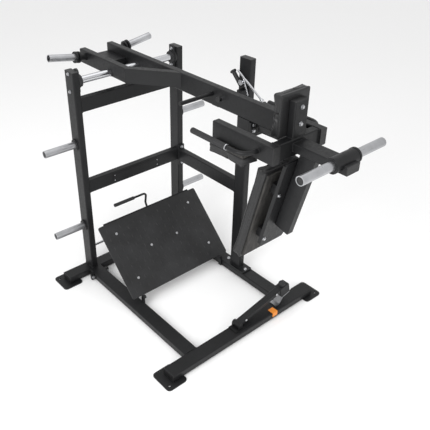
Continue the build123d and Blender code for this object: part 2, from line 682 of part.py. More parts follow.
def head_rest():
    post_y = YOKE_REAR - HEAD_POST_DEEP / 2
    pieces["head_post"] = tube(
        (0, post_y, CARRIAGE_TOP), (0, post_y, HEAD_POST_TOP), TUBE_DEEP, HEAD_POST_DEEP
    )
    pieces["head_post_cap"] = cap((0, post_y, HEAD_POST_TOP), (0, 0, 1), TUBE_DEEP, HEAD_POST_DEEP)
    front = YOKE_REAR - HEAD_POST_DEEP
    pieces["head_bolts"] = group(
        bolt((0, front, z), (0, -1, 0)) for z in (HEAD_BOLT_LOW, HEAD_BOLT_HIGH)
    )
    pad = block(
        -HEAD_PAD_WIDE / 2,
        HEAD_PAD_WIDE / 2,
        YOKE_REAR,
        YOKE_REAR + HEAD_PAD_THICK,
        HEAD_PAD_LOW,
        HEAD_PAD_LOW + HEAD_PAD_TALL,
    )
    pieces["head_pad"] = fillet(pad.edges(), PAD_ROUND)


def shoulder_pads():
    boards = []
    front = SHOULDER_PAD_REAR - SHOULDER_PAD_LONG
    for name, side in SIDES.items():
        x = side * SHOULDER_PAD_X
        half = SHOULDER_PAD_WIDE / 2
        board_low = CARRIAGE_LOW - PAD_BOARD
        pad_low = board_low - SHOULDER_PAD_THICK
        pad = block(x - half, x + half, front, SHOULDER_PAD_REAR, pad_low, board_low)
        pieces[f"shoulder_pad_{name}"] = fillet(pad.edges(), PAD_ROUND)
        inset = half - SHOULDER_BOARD_INSET
        board_front = front + SHOULDER_BOARD_INSET
        board_rear = SHOULDER_PAD_REAR - SHOULDER_BOARD_INSET
        boards.append(block(x - inset, x + inset, board_front, board_rear, board_low, CARRIAGE_LOW))
    pieces["shoulder_pad_boards"] = group(boards)


def back_rest():
    """Back pad, its board, the carrier sheet and the spine, all leaning alike."""
    lean = radians(BACK_PAD_LEAN)
    up = (0, -sin(lean), cos(lean))
    face = Plane(origin=(0, BACK_PAD_LOW_Y, BACK_PAD_LOW_Z), x_dir=(1, 0, 0), z_dir=up)
    # In this plane's own frame x is across, -y is to the back and z runs up along the pad.
    frame = face.location
    half = BACK_PAD_WIDE / 2
    pad = block(-half, half, -BACK_PAD_THICK, 0, 0, BACK_PAD_LONG)
    pad = fillet(pad.edges(), PAD_ROUND)
    pieces["back_pad"] = frame * pad
    back = -BACK_PAD_THICK
    board_back = back - PAD_BOARD
    board_half = half - BOARD_INSET
    board_top = BACK_PAD_LONG - BOARD_INSET
    board = block(-board_half, board_half, board_back, back, BOARD_INSET, board_top)
    pieces["back_pad_board"] = frame * board
    spine_face = board_back - PAD_STANDOFF
    carrier_face = spine_face + CARRIER_THICK
    across = CARRIER_WIDE / 2
    sheet = block(-across, across, spine_face, carrier_face, CARRIER_LOW, CARRIER_HIGH)
    carrier = fillet(sheet.edges().filter_by(Axis.Y), CARRIER_CORNER)
    rim_low = CARRIER_LOW + CARRIER_CORNER
    rim_high = CARRIER_HIGH - CARRIER_CORNER
    bolts = []
    for side in (-1, 1):
        edges = sorted((side * across, side * (across - CARRIER_THICK)))
        carrier += block(*edges, carrier_face, carrier_face + CARRIER_RIM, rim_low, rim_high)
        for u in (BLOCK_LOW_U, BLOCK_HIGH_U):
            x = side * (BLOCK_X - BLOCK_WIDE / 2)
            profile = Rectangle(BLOCK_WIDE, BLOCK_TALL)
            profile -= Rectangle(BLOCK_WIDE - 2 * TUBE_WALL, BLOCK_TALL - 2 * TUBE_WALL)
            foot = Plane(origin=(x, carrier_face, u), x_dir=(1, 0, 0), z_dir=(0, 1, 0))
            carrier += extrude(foot * profile, board_back - carrier_face)
            seat = (frame * Pos(side * (BLOCK_X + WASHER_R), spine_face, u)).position
            below = (frame * Pos(side * (BLOCK_X + WASHER_R), spine_face - 1, u)).position
            bolts.append(bolt(tuple(seat), tuple(below - seat)))
    pieces["pad_carrier"] = frame * carrier
    pieces["carrier_bolts"] = group(bolts)
    middle = spine_face - TUBE_DEEP / 2
    top_u = (BEAM_LOW - BACK_PAD_LOW_Z) / cos(lean) + TUBE_DEEP
    profile = Plane(origin=(0, middle, SPINE_LOW), x_dir=(1, 0, 0), z_dir=(0, 0, 1))
    spine = frame * extrude(profile * section(TUBE_THIN, TUBE_DEEP), top_u - SPINE_LOW)
    above = block(-TUBE_DEEP, TUBE_DEEP, 2 * FRONT_LIMIT, 0, BEAM_LOW, BEAM_LOW + 2 * TUBE_DEEP)
    pieces["spine"] = spine - above


def handles():
    rings = []
    for name, side in SIDES.items():
        x = side * HANDLE_X
        points = (
            (side * SHOULDER_OUTER, HANDLE_ROOT_Y, CARRIAGE_Z),
            (x, HANDLE_ROOT_Y, CARRIAGE_Z),
            (x, HANDLE_END_Y - GRIP_END, CARRIAGE_Z),
        )
        pieces[f"handle_bar_{name}"] = bent_rod(points, HANDLE_BEND, HANDLE_R)
        grip_root = (x, HANDLE_END_Y - GRIP_LONG, CARRIAGE_Z)
        closed = (x, HANDLE_END_Y - GRIP_END, CARRIAGE_Z)
        end = (x, HANDLE_END_Y, CARRIAGE_Z)
        sleeve = pipe(grip_root, closed, GRIP_R, HANDLE_R + RUN_GAP)
        pieces[f"handle_grip_{name}"] = sleeve + rod(closed, end, GRIP_R)
        ring = (x, HANDLE_END_Y - GRIP_LONG - RING_LONG, CARRIAGE_Z)
        rings.append(pipe(ring, grip_root, RING_R, HANDLE_R + RUN_GAP))
    pieces["handle_rings"] = group(rings)
    root = (ARM_INNER, HAND_BAR_Y, HAND_BAR_Z)
    pieces["hand_bar"] = rod(root, (HAND_BAR_END, HAND_BAR_Y, HAND_BAR_Z), HANDLE_R)


# ---------------------------------------------------------------- pop pin and lock
def pop_pin():
    face = (ARM_INNER, PIN_Y, PIN_Z)
    rim = (ARM_INNER - PIN_COLLAR_LONG, PIN_Y, PIN_Z)
    pieces["pin_collar"] = pipe(face, rim, PIN_COLLAR_R, PIN_R + RUN_GAP)
    tip = (ARM_INNER - FREE_GAP, PIN_Y, PIN_Z)
    knob_start = (ARM_INNER - PIN_COLLAR_LONG - FREE_GAP, PIN_Y, PIN_Z)
    knob_end = (knob_start[0] - KNOB_LONG, PIN_Y, PIN_Z)
    knob = rod(knob_start, knob_end, KNOB_R)
    knob = fillet(knob.edges(), KNOB_ROUND)
    pieces["pop_pin"] = rod(tip, knob_start, PIN_R) + knob


def lock():
    half = GUIDE_SIDE / 2
    guide_start = UPRIGHT_INNER - GUIDE_LONG
    channel = rod((guide_start, LOCK_Y, LOCK_Z), (UPRIGHT_INNER, LOCK_Y, LOCK_Z), LOCK_R + RUN_GAP)
    guide = block(guide_start, UPRIGHT_INNER, LOCK_Y - half, LOCK_Y + half, LOCK_Z - half, LOCK_Z + half)
    pieces["lock_guide"] = guide - channel
    bar_end = UPRIGHT_INNER - GUIDE_END_GAP
    pieces["lock_bar"] = rod((LOCK_TIP_X, LOCK_Y, LOCK_Z), (bar_end, LOCK_Y, LOCK_Z), LOCK_R)
    half = CATCH_SIDE / 2
    catch_end = ARM_OUTER + CATCH_LONG
    catch_z = ARM_LOW + half
    catch_low = catch_z - CATCH_SIDE
    catch = block(ARM_OUTER, catch_end, LOCK_Y - half, LOCK_Y + half, catch_low, catch_z + half)
    bore = rod((ARM_OUTER, LOCK_Y, LOCK_Z), (catch_end, LOCK_Y, LOCK_Z), LOCK_R + CATCH_PLAY)
    pieces["lock_catch"] = catch - bore


def lock_lever():
    hub_start = UPRIGHT_INNER - FREE_GAP
    pivot = (hub_start, LEVER_Y, LEVER_Z)
    hub = rod(pivot, (hub_start - LEVER_HUB_LONG, LEVER_Y, LEVER_Z), LEVER_HUB_R)
    rod_high = (LEVER_X, *LEVER_ROD_HIGH)
    rod_low = (LEVER_X, *LEVER_ROD_LOW)
    grip_high = (LEVER_X, *LEVER_GRIP_HIGH)
    grip_low = (LEVER_X, *LEVER_GRIP_LOW)
    long_rod = rod(rod_high, rod_low, LEVER_ROD_R) + Pos(*rod_low) * Sphere(2 * LEVER_ROD_R)
    long_rod = long_rod + Pos(*rod_high) * Sphere(LEVER_ROD_R)
    link = rod((LEVER_X, *LINK_HIGH), (LEVER_X, *LINK_LOW), LINK_ROD_R)
    pieces["lock_lever"] = hub + long_rod + link
    toward = (Vector(*grip_high) - Vector(*grip_low)).normalized()
    knob_start = tuple(Vector(*grip_high) - toward * LEVER_GRIP_R)
    sleeve = rod(grip_low, knob_start, LEVER_GRIP_R)
    knob = rod(knob_start, grip_high, LEVER_KNOB_R)
    knob = fillet(knob.edges(), LEVER_KNOB_ROUND)
    pieces["lever_grip"] = sleeve + knob - hub - long_rod - link


# ---------------------------------------------------------------- foot plate
def deck_place():
    """Location on the standing surface's lower edge: x across, y up the slope, z off it."""
    slope = radians(DECK_SLOPE)
    off = Vector(0, -sin(slope), cos(slope))
    origin = Vector(0, DECK_LOW_Y, DECK_LOW_Z)
    return Plane(origin=origin, x_dir=(1, 0, 0), z_dir=off).location


def foot_plate():
    place = deck_place()
    sheet = extrude(RectangleRounded(DECK_WIDE, DECK_LONG, DECK_CORNER), -DECK_THICK)
    sheet = Pos(0, DECK_LONG / 2, 0) * sheet
    pieces["deck"] = place * sheet
    lip_half = RAIL_X - TUBE_DEEP / 2 - 2 * TILT_EAR_THICK - 2 * DECK_THICK
    lip = block(-lip_half, lip_half, 0, DECK_THICK, -DECK_THICK - DECK_LIP, -DECK_THICK)
    pieces["deck_lip"] = place * lip
    bar_low = DECK_LONG + DECK_BAR_PROUD - DECK_BAR_TALL
    top_edge = block(
        -DECK_BAR_WIDE / 2,
        DECK_BAR_WIDE / 2,
        bar_low,
        DECK_LONG + DECK_BAR_PROUD,
        -DECK_THICK - DECK_BAR_THICK,
        -DECK_THICK,
    )
    pieces["deck_top_bar"] = place * top_edge
    half = RIB_WIDE / 2
    rib_low = -DECK_THICK - RIB_DEEP
    ribs = []
    for side in (-1, 1):
        x = side * RIB_X
        ribs.append(block(x - half, x + half, RIB_START, RIB_START + RIB_LONG, rib_low, -DECK_THICK))
    inner = RIB_X - half
    cross = block(-inner, inner, RIB_BAR_AT, RIB_BAR_AT + RIB_WIDE, rib_low, -DECK_THICK)
    pieces["deck_ribs"] = group(place * rib for rib in (*ribs, cross))
    bolts = []
    heights = (DECK_BOLT_LOW, DECK_BOLT_HIGH)
    spots = [(side * DECK_BOLT_X, up) for side in (-1, 1) for up in heights]
    spots.append((-DECK_BOLT_MID_X, DECK_BOLT_MID))
    spots.append((DECK_BOLT_MID_X, DECK_BOLT_MID))
    for x, up in spots:
        dome = extrude(Pos(x, up, 0) * Circle(BOLT_HEAD), DOME_TALL)
        bolts.append(place * fillet(dome.edges().sort_by(Axis.Z)[-1], DOME_ROUND))
    pieces["deck_bolts"] = group(bolts)


def tilt_hinge():
    """Ears on the rails, and under the deck the tongues whose pins turn in them."""
    place = deck_place()
    ears = []
    tongues = []
    over = place * block(-BASE_WIDTH, BASE_WIDTH, -FREE_GAP, DECK_LONG, -DECK_THICK, DECK_LONG)
    low_z = TILT_Z - TILT_EAR_R
    web_end = TILT_Y + TILT_WEB_REACH
    for side in (-1, 1):
        rail_face = side * (RAIL_X - TUBE_DEEP / 2)
        ear_face = rail_face - side * TILT_EAR_THICK
        ear = rod((ear_face, TILT_Y, TILT_Z), (rail_face, TILT_Y, TILT_Z), TILT_EAR_R)
        low, high = sorted((ear_face, rail_face))
        ear += block(low, high, TILT_Y - TILT_EAR_R, TILT_Y + TILT_EAR_R, TILT_EAR_LOW, TILT_Z)
        hole = rod((ear_face, TILT_Y, TILT_Z), (rail_face, TILT_Y, TILT_Z), TILT_PIN_R + RUN_GAP)
        ears.append(ear - hole)
        tongue_face = ear_face - side * FREE_GAP
        tongue_back = tongue_face - side * TILT_EAR_THICK
        tongue = rod((tongue_face, TILT_Y, TILT_Z), (tongue_back, TILT_Y, TILT_Z), TILT_EAR_R)
        low, high = sorted((tongue_face, tongue_back))
        neck = block(low, high, TILT_Y, web_end, low_z, TILT_Z)
        web = block(low, high, DECK_LOW_Y + DECK_THICK, web_end, low_z, TILT_Z + TILT_WEB_REACH)
        pin_end = (rail_face - side * FREE_GAP, TILT_Y, TILT_Z)
        pin = rod((tongue_face, TILT_Y, TILT_Z), pin_end, TILT_PIN_R)
        tongues.append(tongue + neck + web - over + pin)
    pieces["tilt_ears"] = group(ears)
    pieces["tilt_tongues"] = group(tongues)


def prop():
    """Rod between the uprights and the lever on the deck that rests on it."""
    rod_ends = [(side * UPRIGHT_INNER, PROP_ROD_Y, PROP_ROD_Z) for side in (-1, 1)]
    pieces["prop_rod"] = rod(*rod_ends, PROP_ROD_R)
    place = deck_place()
    half = PROP_WIDE / 2
    ears = []
    over = place * block(-DECK_WIDE, DECK_WIDE, -DECK_LONG, 2 * DECK_LONG, -DECK_THICK, DECK_LONG)
    pin_half = half + FREE_GAP + PROP_EAR_THICK
    for side in (-1, 1):
        inner = (PROP_X + side * (half + FREE_GAP), PROP_PIVOT_Y, PROP_PIVOT_Z)
        outer = (PROP_X + side * pin_half, PROP_PIVOT_Y, PROP_PIVOT_Z)
        low, high = sorted((inner[0], outer[0]))
        boss = rod(inner, outer, PROP_BOSS_R)
        front = PROP_PIVOT_Y - PROP_EAR_LONG
        foot_low = PROP_PIVOT_Z - PROP_BOSS_R
        foot_high = PROP_PIVOT_Z + PROP_BOSS_R
        foot = block(low, high, front, PROP_PIVOT_Y, foot_low, foot_high)
        ears.append(boss + foot - over - rod(inner, outer, PROP_PIN_R + RUN_GAP))
    pieces["prop_ears"] = group(ears)
    pin_ends = [(PROP_X + side * pin_half, PROP_PIVOT_Y, PROP_PIVOT_Z) for side in (-1, 1)]
    pin = rod(*pin_ends, PROP_PIN_R)
    forward = PROP_ROD_Y - PROP_PIVOT_Y
    down = PROP_ROD_Z - PROP_PIVOT_Z
    reach = hypot(forward, down)
    fall = degrees(atan2(down, forward))
    side_view = Plane(origin=(PROP_X - half, PROP_PIVOT_Y, PROP_PIVOT_Z), x_dir=(0, 1, 0), z_dir=(1, 0, 0))
    leg = Rot(0, 0, fall) * (Pos(reach / 2, 0) * SlotCenterToCenter(reach, PROP_DEEP))
    seat_r = PROP_ROD_R + FREE_GAP
    seat = Pos(forward, down) * Circle(seat_r)
    drop = Pos(forward, down - PROP_DEEP) * Rectangle(2 * seat_r, 2 * PROP_DEEP)
    open_side = Pos(forward - PROP_DEEP, down - PROP_DEEP) * Rectangle(2 * PROP_DEEP, 2 * PROP_DEEP)
    # the mouth follows the arc the rod takes past the turning lever
    ring = Circle(reach + seat_r) - Circle(reach - seat_r)
    front_half = Pos(reach, -PROP_DEEP) * Rectangle(2 * PROP_DEEP, 2 * PROP_DEEP)
    mouth = Rot(0, 0, fall) * (ring & front_half)
    lever = extrude(side_view * (leg - seat - drop - open_side - mouth), PROP_WIDE)
    corner = (PROP_GRIP_INNER, PROP_HANDLE_Y, PROP_HANDLE_Z)
    closed = (PROP_GRIP_INNER - PROP_GRIP_LONG + GRIP_END, PROP_HANDLE_Y, PROP_HANDLE_Z)
    end = (PROP_GRIP_INNER - PROP_GRIP_LONG, PROP_HANDLE_Y, PROP_HANDLE_Z)
    handle_points = (
        (PROP_X, PROP_PIVOT_Y, PROP_PIVOT_Z),
        (PROP_X, PROP_BEND_Y, PROP_BEND_Z),
        (PROP_X, PROP_HANDLE_Y, PROP_HANDLE_Z),
        closed,
    )
    pieces["prop_lever"] = lever + pin + bent_rod(handle_points, PROP_BEND, PROP_HANDLE_R)
    sleeve = pipe(corner, closed, PROP_GRIP_R, PROP_HANDLE_R + RUN_GAP)
    pieces["prop_grip"] = sleeve + rod(closed, end, PROP_GRIP_R)


# ---------------------------------------------------------------- swing-up stop
def stop_place():
    """Location on the stop arm's pin: x along the parked arm, z off its upper side."""
    rise = radians(STOP_RISE)
    off = (-sin(rise), 0, cos(rise))
    return Plane(origin=(STOP_X, STOP_Y, STOP_Z), x_dir=(cos(rise), 0, sin(rise)), z_dir=off).location


def stop_bracket():
    half = STOP_WIDE / 2 + STOP_SIDE_GAP
    pin_half = half + STOP_EAR_THICK
    plate_half = pin_half + STOP_EAR_THICK
    plate_top = BASE_TOP + STOP_PLATE
    left = STOP_X - STOP_PLATE_LEFT
    right = STOP_X + STOP_PLATE_RIGHT
    bracket = block(left, right, STOP_Y - plate_half, STOP_Y + pin_half, BASE_TOP, plate_top)
    for side in (-1, 1):
        inner = STOP_Y + side * half
        outer = STOP_Y + side * pin_half
        low, high = sorted((inner, outer))
        bracket += rod((STOP_X, inner, STOP_Z), (STOP_X, outer, STOP_Z), STOP_HUB_R)
        bracket += block(STOP_X - STOP_HUB_R, STOP_X + STOP_HUB_R, low, high, plate_top, STOP_Z)
    ends = [(STOP_X, STOP_Y + side * pin_half, STOP_Z) for side in (-1, 1)]
    pieces["stop_bracket"] = bracket - rod(*ends, STOP_PIN_R + RUN_GAP)


def stop_arm():
    place = stop_place()
    half = STOP_WIDE / 2
    pin_half = half + STOP_SIDE_GAP + STOP_EAR_THICK
    hub = rod((0, -half, 0), (0, half, 0), STOP_HUB_R)
    bar = tube((0, 0, 0), (STOP_LONG, 0, 0), STOP_WIDE, STOP_DEEP) - hub
    pin = rod((0, -pin_half, 0), (0, pin_half, 0), STOP_PIN_R)
    wide = STOP_BLOCK_WIDE / 2
    far = STOP_LONG + STOP_BLOCK_LONG
    end_block = block(STOP_LONG, far, -wide, wide, -STOP_BLOCK_DOWN, STOP_BLOCK_UP)
    end_block = fillet(end_block.edges().filter_by(Axis.Y), STOP_BLOCK_ROUND)
    pieces["stop_arm"] = group(place * piece for piece in (hub + pin, bar, end_block))
    seat = (STOP_LONG + far) / 2
    pad = rod((seat, 0, STOP_BLOCK_UP), (seat, 0, STOP_BLOCK_UP + BUMPER_TALL), BUMPER_R)
    pieces["stop_bumper"] = place * fillet(pad.edges().sort_by(Axis.Z)[-1], BUMPER_ROUND)


def stop_rest():
    """Bent plate: a foot on the crossbar, a slope, and a flat under the parked block."""
    place = stop_place()
    under = -STOP_BLOCK_DOWN - FREE_GAP
    low = (place * Pos(STOP_LONG + STOP_BLOCK_ROUND, 0, under)).position
    high = (place * Pos(STOP_LONG + STOP_BLOCK_LONG, 0, under)).position
    foot_end = low.X - REST_FOOT
    outline = (
        (foot_end, BASE_TOP),
        (low.X - REST_SLOPE, BASE_TOP),
        (low.X + REST_THICK, low.Z - REST_THICK),
        (high.X, high.Z - REST_THICK),
        (high.X, high.Z),
        (low.X, low.Z),
        (low.X - REST_SLOPE - REST_THICK, BASE_TOP + REST_THICK),
        (foot_end, BASE_TOP + REST_THICK),
    )
    side_y = STOP_Y - STOP_BLOCK_WIDE / 2
    side_view = Plane(origin=(0, side_y, 0), x_dir=(1, 0, 0), z_dir=(0, -1, 0))
    profile = make_face(Polyline(*outline, close=True))
    pieces["stop_rest"] = extrude(side_view * profile, -STOP_BLOCK_WIDE)


def orange_tab():
    """Bent tab over the front edge of the front crossbar."""
    front = -CROSSBAR_Y - TUBE_DEEP / 2
    left = TAB_X - TAB_WIDE / 2
    right = TAB_X + TAB_WIDE / 2
    face = front - TAB_THICK
    top = block(left, right, face, front + TAB_DEEP, BASE_TOP, BASE_TOP + TAB_THICK)
    drop = block(left, right, face, front, BASE_TOP - TAB_DROP, BASE_TOP)
    pieces["stop_tab"] = top + drop


# Pieces that are welded together, under the name of the whole.
WELDED = {
    "front_post": ("front_post", "post_foot", "lock_guide"),
    "side_brace": ("side_brace", "brace_flange"),
    "main_arm": ("main_arm", "arm_nose"),
    "left_arm": ("rear_tube_left", "arm_diagonal"),
    "arm_hanger": ("arm_hanger", "hanger_plate"),
}
# Separate pieces of one finish that belong to the same moving unit.
KEPT_TOGETHER = {
    "base_crossbars": ("base_crossbar_front", "base_crossbar_rear"),
    "base_rails": ("base_rail_left", "base_rail_right"),
    "rail_joints": ("rail_stubs", "rail_flanges"),
    "frame_end_caps": ("base_end_caps", "post_top_caps"),
    "frame_bolts": ("rail_flange_bolts", "post_bolts", "bearing_bolts"),
    "storage_horns": tuple(f"storage_horn_{level}_{side}" for level in ("low", "high") for side in SIDES),
    "bearings": ("bearing_left", "bearing_right"),
    "pendulum_caps": ("arm_end_caps", "shoulder_tube_caps", "head_post_cap", "front_beam_cap"),
    "rear_horns": ("rear_horn_left", "rear_horn_right"),
    "rear_horn_roots": ("rear_horn_root_left", "rear_horn_root_right", "rear_horn_collars"),
    "shoulder_tubes": ("shoulder_tube_left", "shoulder_tube_right"),
    "horn_sleeve": ("horn_sleeve", "front_horn_collars"),
    "pad_boards": ("back_pad_board", "shoulder_pad_boards"),
    "pendulum_bolts": ("hanger_bolts", "head_bolts", "carrier_bolts"),
    "handle_bars": ("handle_bar_left", "handle_bar_right", "hand_bar"),
    "handle_grips": ("handle_grip_left", "handle_grip_right"),
    "bright_rings": ("handle_rings", "pin_collar"),
    "deck_frame": ("deck_ribs", "deck_lip", "deck_top_bar", "tilt_tongues", "prop_ears"),
}


def finished_nodes():
    """Every piece under the name of the node that it ends up in."""
    nodes = dict(pieces)
    for name, members in WELDED.items():
        whole = nodes[members[0]]
        for member in members[1:]:
            whole += nodes[member]
        for member in members:
            del nodes[member]
        nodes[name] = whole
    for name, members in KEPT_TOGETHER.items():
        whole = group(solid for member in members for solid in nodes[member].solids())
        for member in members:
            del nodes[member]
        nodes[name] = whole
    return nodes


base()
feet()
uprights()
post_and_brace()
storage_horns()
bearings()
pendulum_arm()
rear_horns()
carriage()
front_beam()
head_rest()
shoulder_pads()
back_rest()
handles()
pop_pin()
lock()
lock_lever()
foot_plate()
tilt_hinge()
prop()
stop_bracket()
stop_arm()
stop_rest()
orange_tab()

os.makedirs("parts", exist_ok=True)
nodes = finished_nodes()
for name, shape in nodes.items():
    export_step(Pos(0, ORIGIN_SHIFT, 0) * shape, f"parts/{name}.step")
print(len(nodes), "nodes, shifted along Y by", ORIGIN_SHIFT)
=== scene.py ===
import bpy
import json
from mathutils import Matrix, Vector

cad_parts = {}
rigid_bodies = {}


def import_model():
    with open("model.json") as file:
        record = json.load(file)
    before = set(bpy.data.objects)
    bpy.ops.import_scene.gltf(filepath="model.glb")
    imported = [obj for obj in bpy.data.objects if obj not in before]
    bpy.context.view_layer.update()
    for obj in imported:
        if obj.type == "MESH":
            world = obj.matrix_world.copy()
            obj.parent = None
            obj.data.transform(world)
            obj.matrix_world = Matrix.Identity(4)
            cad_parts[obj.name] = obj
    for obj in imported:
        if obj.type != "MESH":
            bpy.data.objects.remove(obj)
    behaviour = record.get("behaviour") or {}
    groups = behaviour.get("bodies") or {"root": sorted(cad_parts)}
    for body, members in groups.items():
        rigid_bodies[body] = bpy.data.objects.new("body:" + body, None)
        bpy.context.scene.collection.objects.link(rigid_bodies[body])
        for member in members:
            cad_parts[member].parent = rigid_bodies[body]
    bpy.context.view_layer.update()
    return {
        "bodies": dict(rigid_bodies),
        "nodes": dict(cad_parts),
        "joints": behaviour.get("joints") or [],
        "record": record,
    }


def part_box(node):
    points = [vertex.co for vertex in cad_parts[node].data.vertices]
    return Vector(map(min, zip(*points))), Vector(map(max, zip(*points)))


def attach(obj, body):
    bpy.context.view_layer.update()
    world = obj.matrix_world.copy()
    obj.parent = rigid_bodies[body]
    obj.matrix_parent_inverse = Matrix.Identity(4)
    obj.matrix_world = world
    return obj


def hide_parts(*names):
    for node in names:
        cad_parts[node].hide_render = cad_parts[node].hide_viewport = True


bl_info = {
    "name": "Pendulum hack squat machine",
    "version": (1, 0, 0),
    "blender": (4, 5, 0),
    "location": "3D View > Sidebar > Hack Squat",
    "description": "Finishes, cushions, grips, welds, treads and stage for the squat machine",
    "category": "Object",
}

import json
from math import cos, radians, sin

import bmesh
import bpy
import numpy as np
from bpy.props import FloatProperty, FloatVectorProperty, IntProperty, PointerProperty
from bpy.types import Operator, Panel, PropertyGroup
from mathutils import Vector
from mathutils.bvhtree import BVHTree

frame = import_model()
NODES = frame["nodes"]

DECK_SLOPE = radians(44.3)
DECK_THICK = 0.008
TUBE_CORNER = 0.007
BACK_LEAN = radians(14.0)
TUBE_DEEP = 0.100
TUBE_THIN = 0.050
POST_FOOT_SIDE = 0.023
POST_FOOT_REACH = 0.063
POST_FOOT_THICK = 0.010
BRACE_FLANGE = 0.012
HANDLE_R = 0.0125
STOP_RISE = radians(12.0)
STOP_PIN_X = -0.045
STOP_HUB_R = 0.020
STOP_BOLTS_AT = (0.062, 0.362)
STOP_BOLT_OFF = 0.024
STOP_BOLT_R = 0.0095
STOP_BOLT_TALL = 0.006
SEAM_AT = 0.45  # share of a cushion's thickness from its board to the drawn-in seam
SEAM_DEEP = 0.002
SEAM_WIDE = 0.004
PIPING_AT = 0.78  # share of a cushion's thickness from its board to the piping
PIPING_CORNER = 0.020
SHOULDER_PIPING_CORNER = 0.018
PIPING_POINTS = 220
BOARD_BLEND = 0.016  # the cover is flat on its board and free this far from it
CLOTH_FRAMES = 20
TREAD_SQUARENESS = 0.6  # power that fills out a tread mark's ends
MERGE = 1e-6
PLATE_RIVET_INSET = 0.012
FLOOR_REACH = 30.0


# ------------------------------------------------------------------ settings
def metres(name, description, value):
    """Setting for a length in metres."""
    return FloatProperty(name=name, description=description, default=value, unit="LENGTH")


def tone(name, description, value):
    """Setting for a surface colour."""
    return FloatVectorProperty(name=name, description=description, subtype="COLOR", default=value)


class SquatSizes(PropertyGroup):
    """Sizes of the pieces that are added to the frame."""

    bead: metres("Weld bead", "Radius of a weld bead", 0.0032)
    ripple: metres("Bead ripple", "Distance between ripples", 0.0045)
    tread_long: metres("Tread length", "Length of a tread mark", 0.027)
    tread_wide: metres("Tread width", "Width of a tread mark", 0.0058)
    tread_tall: metres("Tread height", "Height of a tread mark", 0.0018)
    tread_columns: IntProperty(name="Tread columns", description="Columns of marks across", default=15)
    tread_rows: IntProperty(name="Tread rows", description="Rows of marks up the deck", default=8)
    tread_margin: metres("Tread margin", "Bare edge", 0.050)
    voxel: metres("Cushion grain", "Cell size of a cushion's mesh", 0.0055)
    shrink: metres("Cushion start", "Pulled in before it is filled", 0.004)
    puff: metres("Cushion puff", "Most that the cover swells", 0.010)
    piping: metres("Piping", "Radius of the sewn piping", 0.0026)
    rib_pitch: metres("Grip ribs", "Distance between ribs", 0.0068)
    rib_deep: metres("Rib depth", "Depth between ribs", 0.0011)
    rivet: metres("Rivet", "Radius of a rivet's head", 0.0042)


class SquatColours(PropertyGroup):
    """Colours of the finishes."""

    paint: tone("Paint", "Powder coat", (0.0075, 0.0077, 0.0084))
    deck: tone("Deck", "Foot plate", (0.0100, 0.0102, 0.0110))
    steel: tone("Steel", "Horns and rods", (0.46, 0.465, 0.48))
    vinyl: tone("Vinyl", "Cushion cover", (0.0065, 0.0065, 0.0072))
    rubber: tone("Rubber", "Grips", (0.0120, 0.0120, 0.0130))
    orange: tone("Accent", "Orange tab", (0.83, 0.27, 0.04))
    floor: tone("Floor", "Plain floor", (0.97, 0.97, 0.97))


def sizes():
    """The scene's sizes, as set in the panel."""
    return bpy.context.scene.squat_sizes


def colours():
    """The scene's colours, as set in the panel."""
    return bpy.context.scene.squat_colours


# ------------------------------------------------------------------ materials
class Finish:
    """A material under construction: its nodes are added one by one and linked by name."""

    def __init__(self, name, colour, roughness, metallic=0.0):
        self.material = bpy.data.materials.new(name)
        self.material.use_nodes = True
        self.tree = self.material.node_tree
        self.shader = self.tree.nodes["Principled BSDF"]
        self.shader.inputs["Base Color"].default_value = (*colour, 1.0)
        self.shader.inputs["Roughness"].default_value = roughness
        self.shader.inputs["Metallic"].default_value = metallic
        self.place = self.tree.nodes.new("ShaderNodeTexCoord").outputs["Object"]

    def node(self, kind, **values):
        made = self.tree.nodes.new(kind)
        for key, value in values.items():
            setattr(made, key, value)
        return made

    def link(self, start, end):
        self.tree.links.new(start, end)

    def noise(self, scale, detail=2.0, stretch=None):
        """Cloudy pattern on the object's own coordinates, drawn out along an axis by stretch."""
        made = self.node("ShaderNodeTexNoise")
        made.inputs["Scale"].default_value = scale
        made.inputs["Detail"].default_value = detail
        source = self.place
        if stretch:
            mapping = self.node("ShaderNodeMapping")
            mapping.inputs["Scale"].default_value = stretch
            self.link(source, mapping.inputs["Vector"])
            source = mapping.outputs["Vector"]
        self.link(source, made.inputs["Vector"])
        return made.outputs["Fac"]

    def cells(self, scale, feature="F1"):
        made = self.node("ShaderNodeTexVoronoi", feature=feature)
        made.inputs["Scale"].default_value = scale
        self.link(self.place, made.inputs["Vector"])
        return made.outputs["Distance"]

    def ramp(self, source, low, high, start, end):
        """Values from low to high as the source goes from start to end."""
        made = self.node("ShaderNodeMapRange")
        made.inputs["From Min"].default_value = start
        made.inputs["From Max"].default_value = end
        made.inputs["To Min"].default_value = low
        made.inputs["To Max"].default_value = high
        self.link(source, made.inputs["Value"])
        return made.outputs["Result"]

    def tint(self, source, first, second, start=0.35, end=0.65):
        """Surface colour that goes from first to second with the source."""
        mix = self.node("ShaderNodeMix", data_type="RGBA")
        mix.inputs["A"].default_value = (*first, 1.0)
        mix.inputs["B"].default_value = (*second, 1.0)
        self.link(self.ramp(source, 0.0, 1.0, start, end), mix.inputs["Factor"])
        self.link(mix.outputs["Result"], self.shader.inputs["Base Color"])

    def rough(self, source, low, high, start=0.3, end=0.7):
        self.link(self.ramp(source, low, high, start, end), self.shader.inputs["Roughness"])

    def bump(self, source, height, strength=1.0):
        """Relief of the given height in metres, on top of any relief that is there."""
        made = self.node("ShaderNodeBump")
        made.inputs["Distance"].default_value = height
        made.inputs["Strength"].default_value = strength
        self.link(source, made.inputs["Height"])
        taken = self.shader.inputs["Normal"]
        if taken.is_linked:
            self.link(taken.links[0].from_socket, made.inputs["Normal"])
        self.link(made.outputs["Normal"], taken)


def scaled(colour, factor):
    return tuple(min(1.0, channel * factor) for channel in colour)


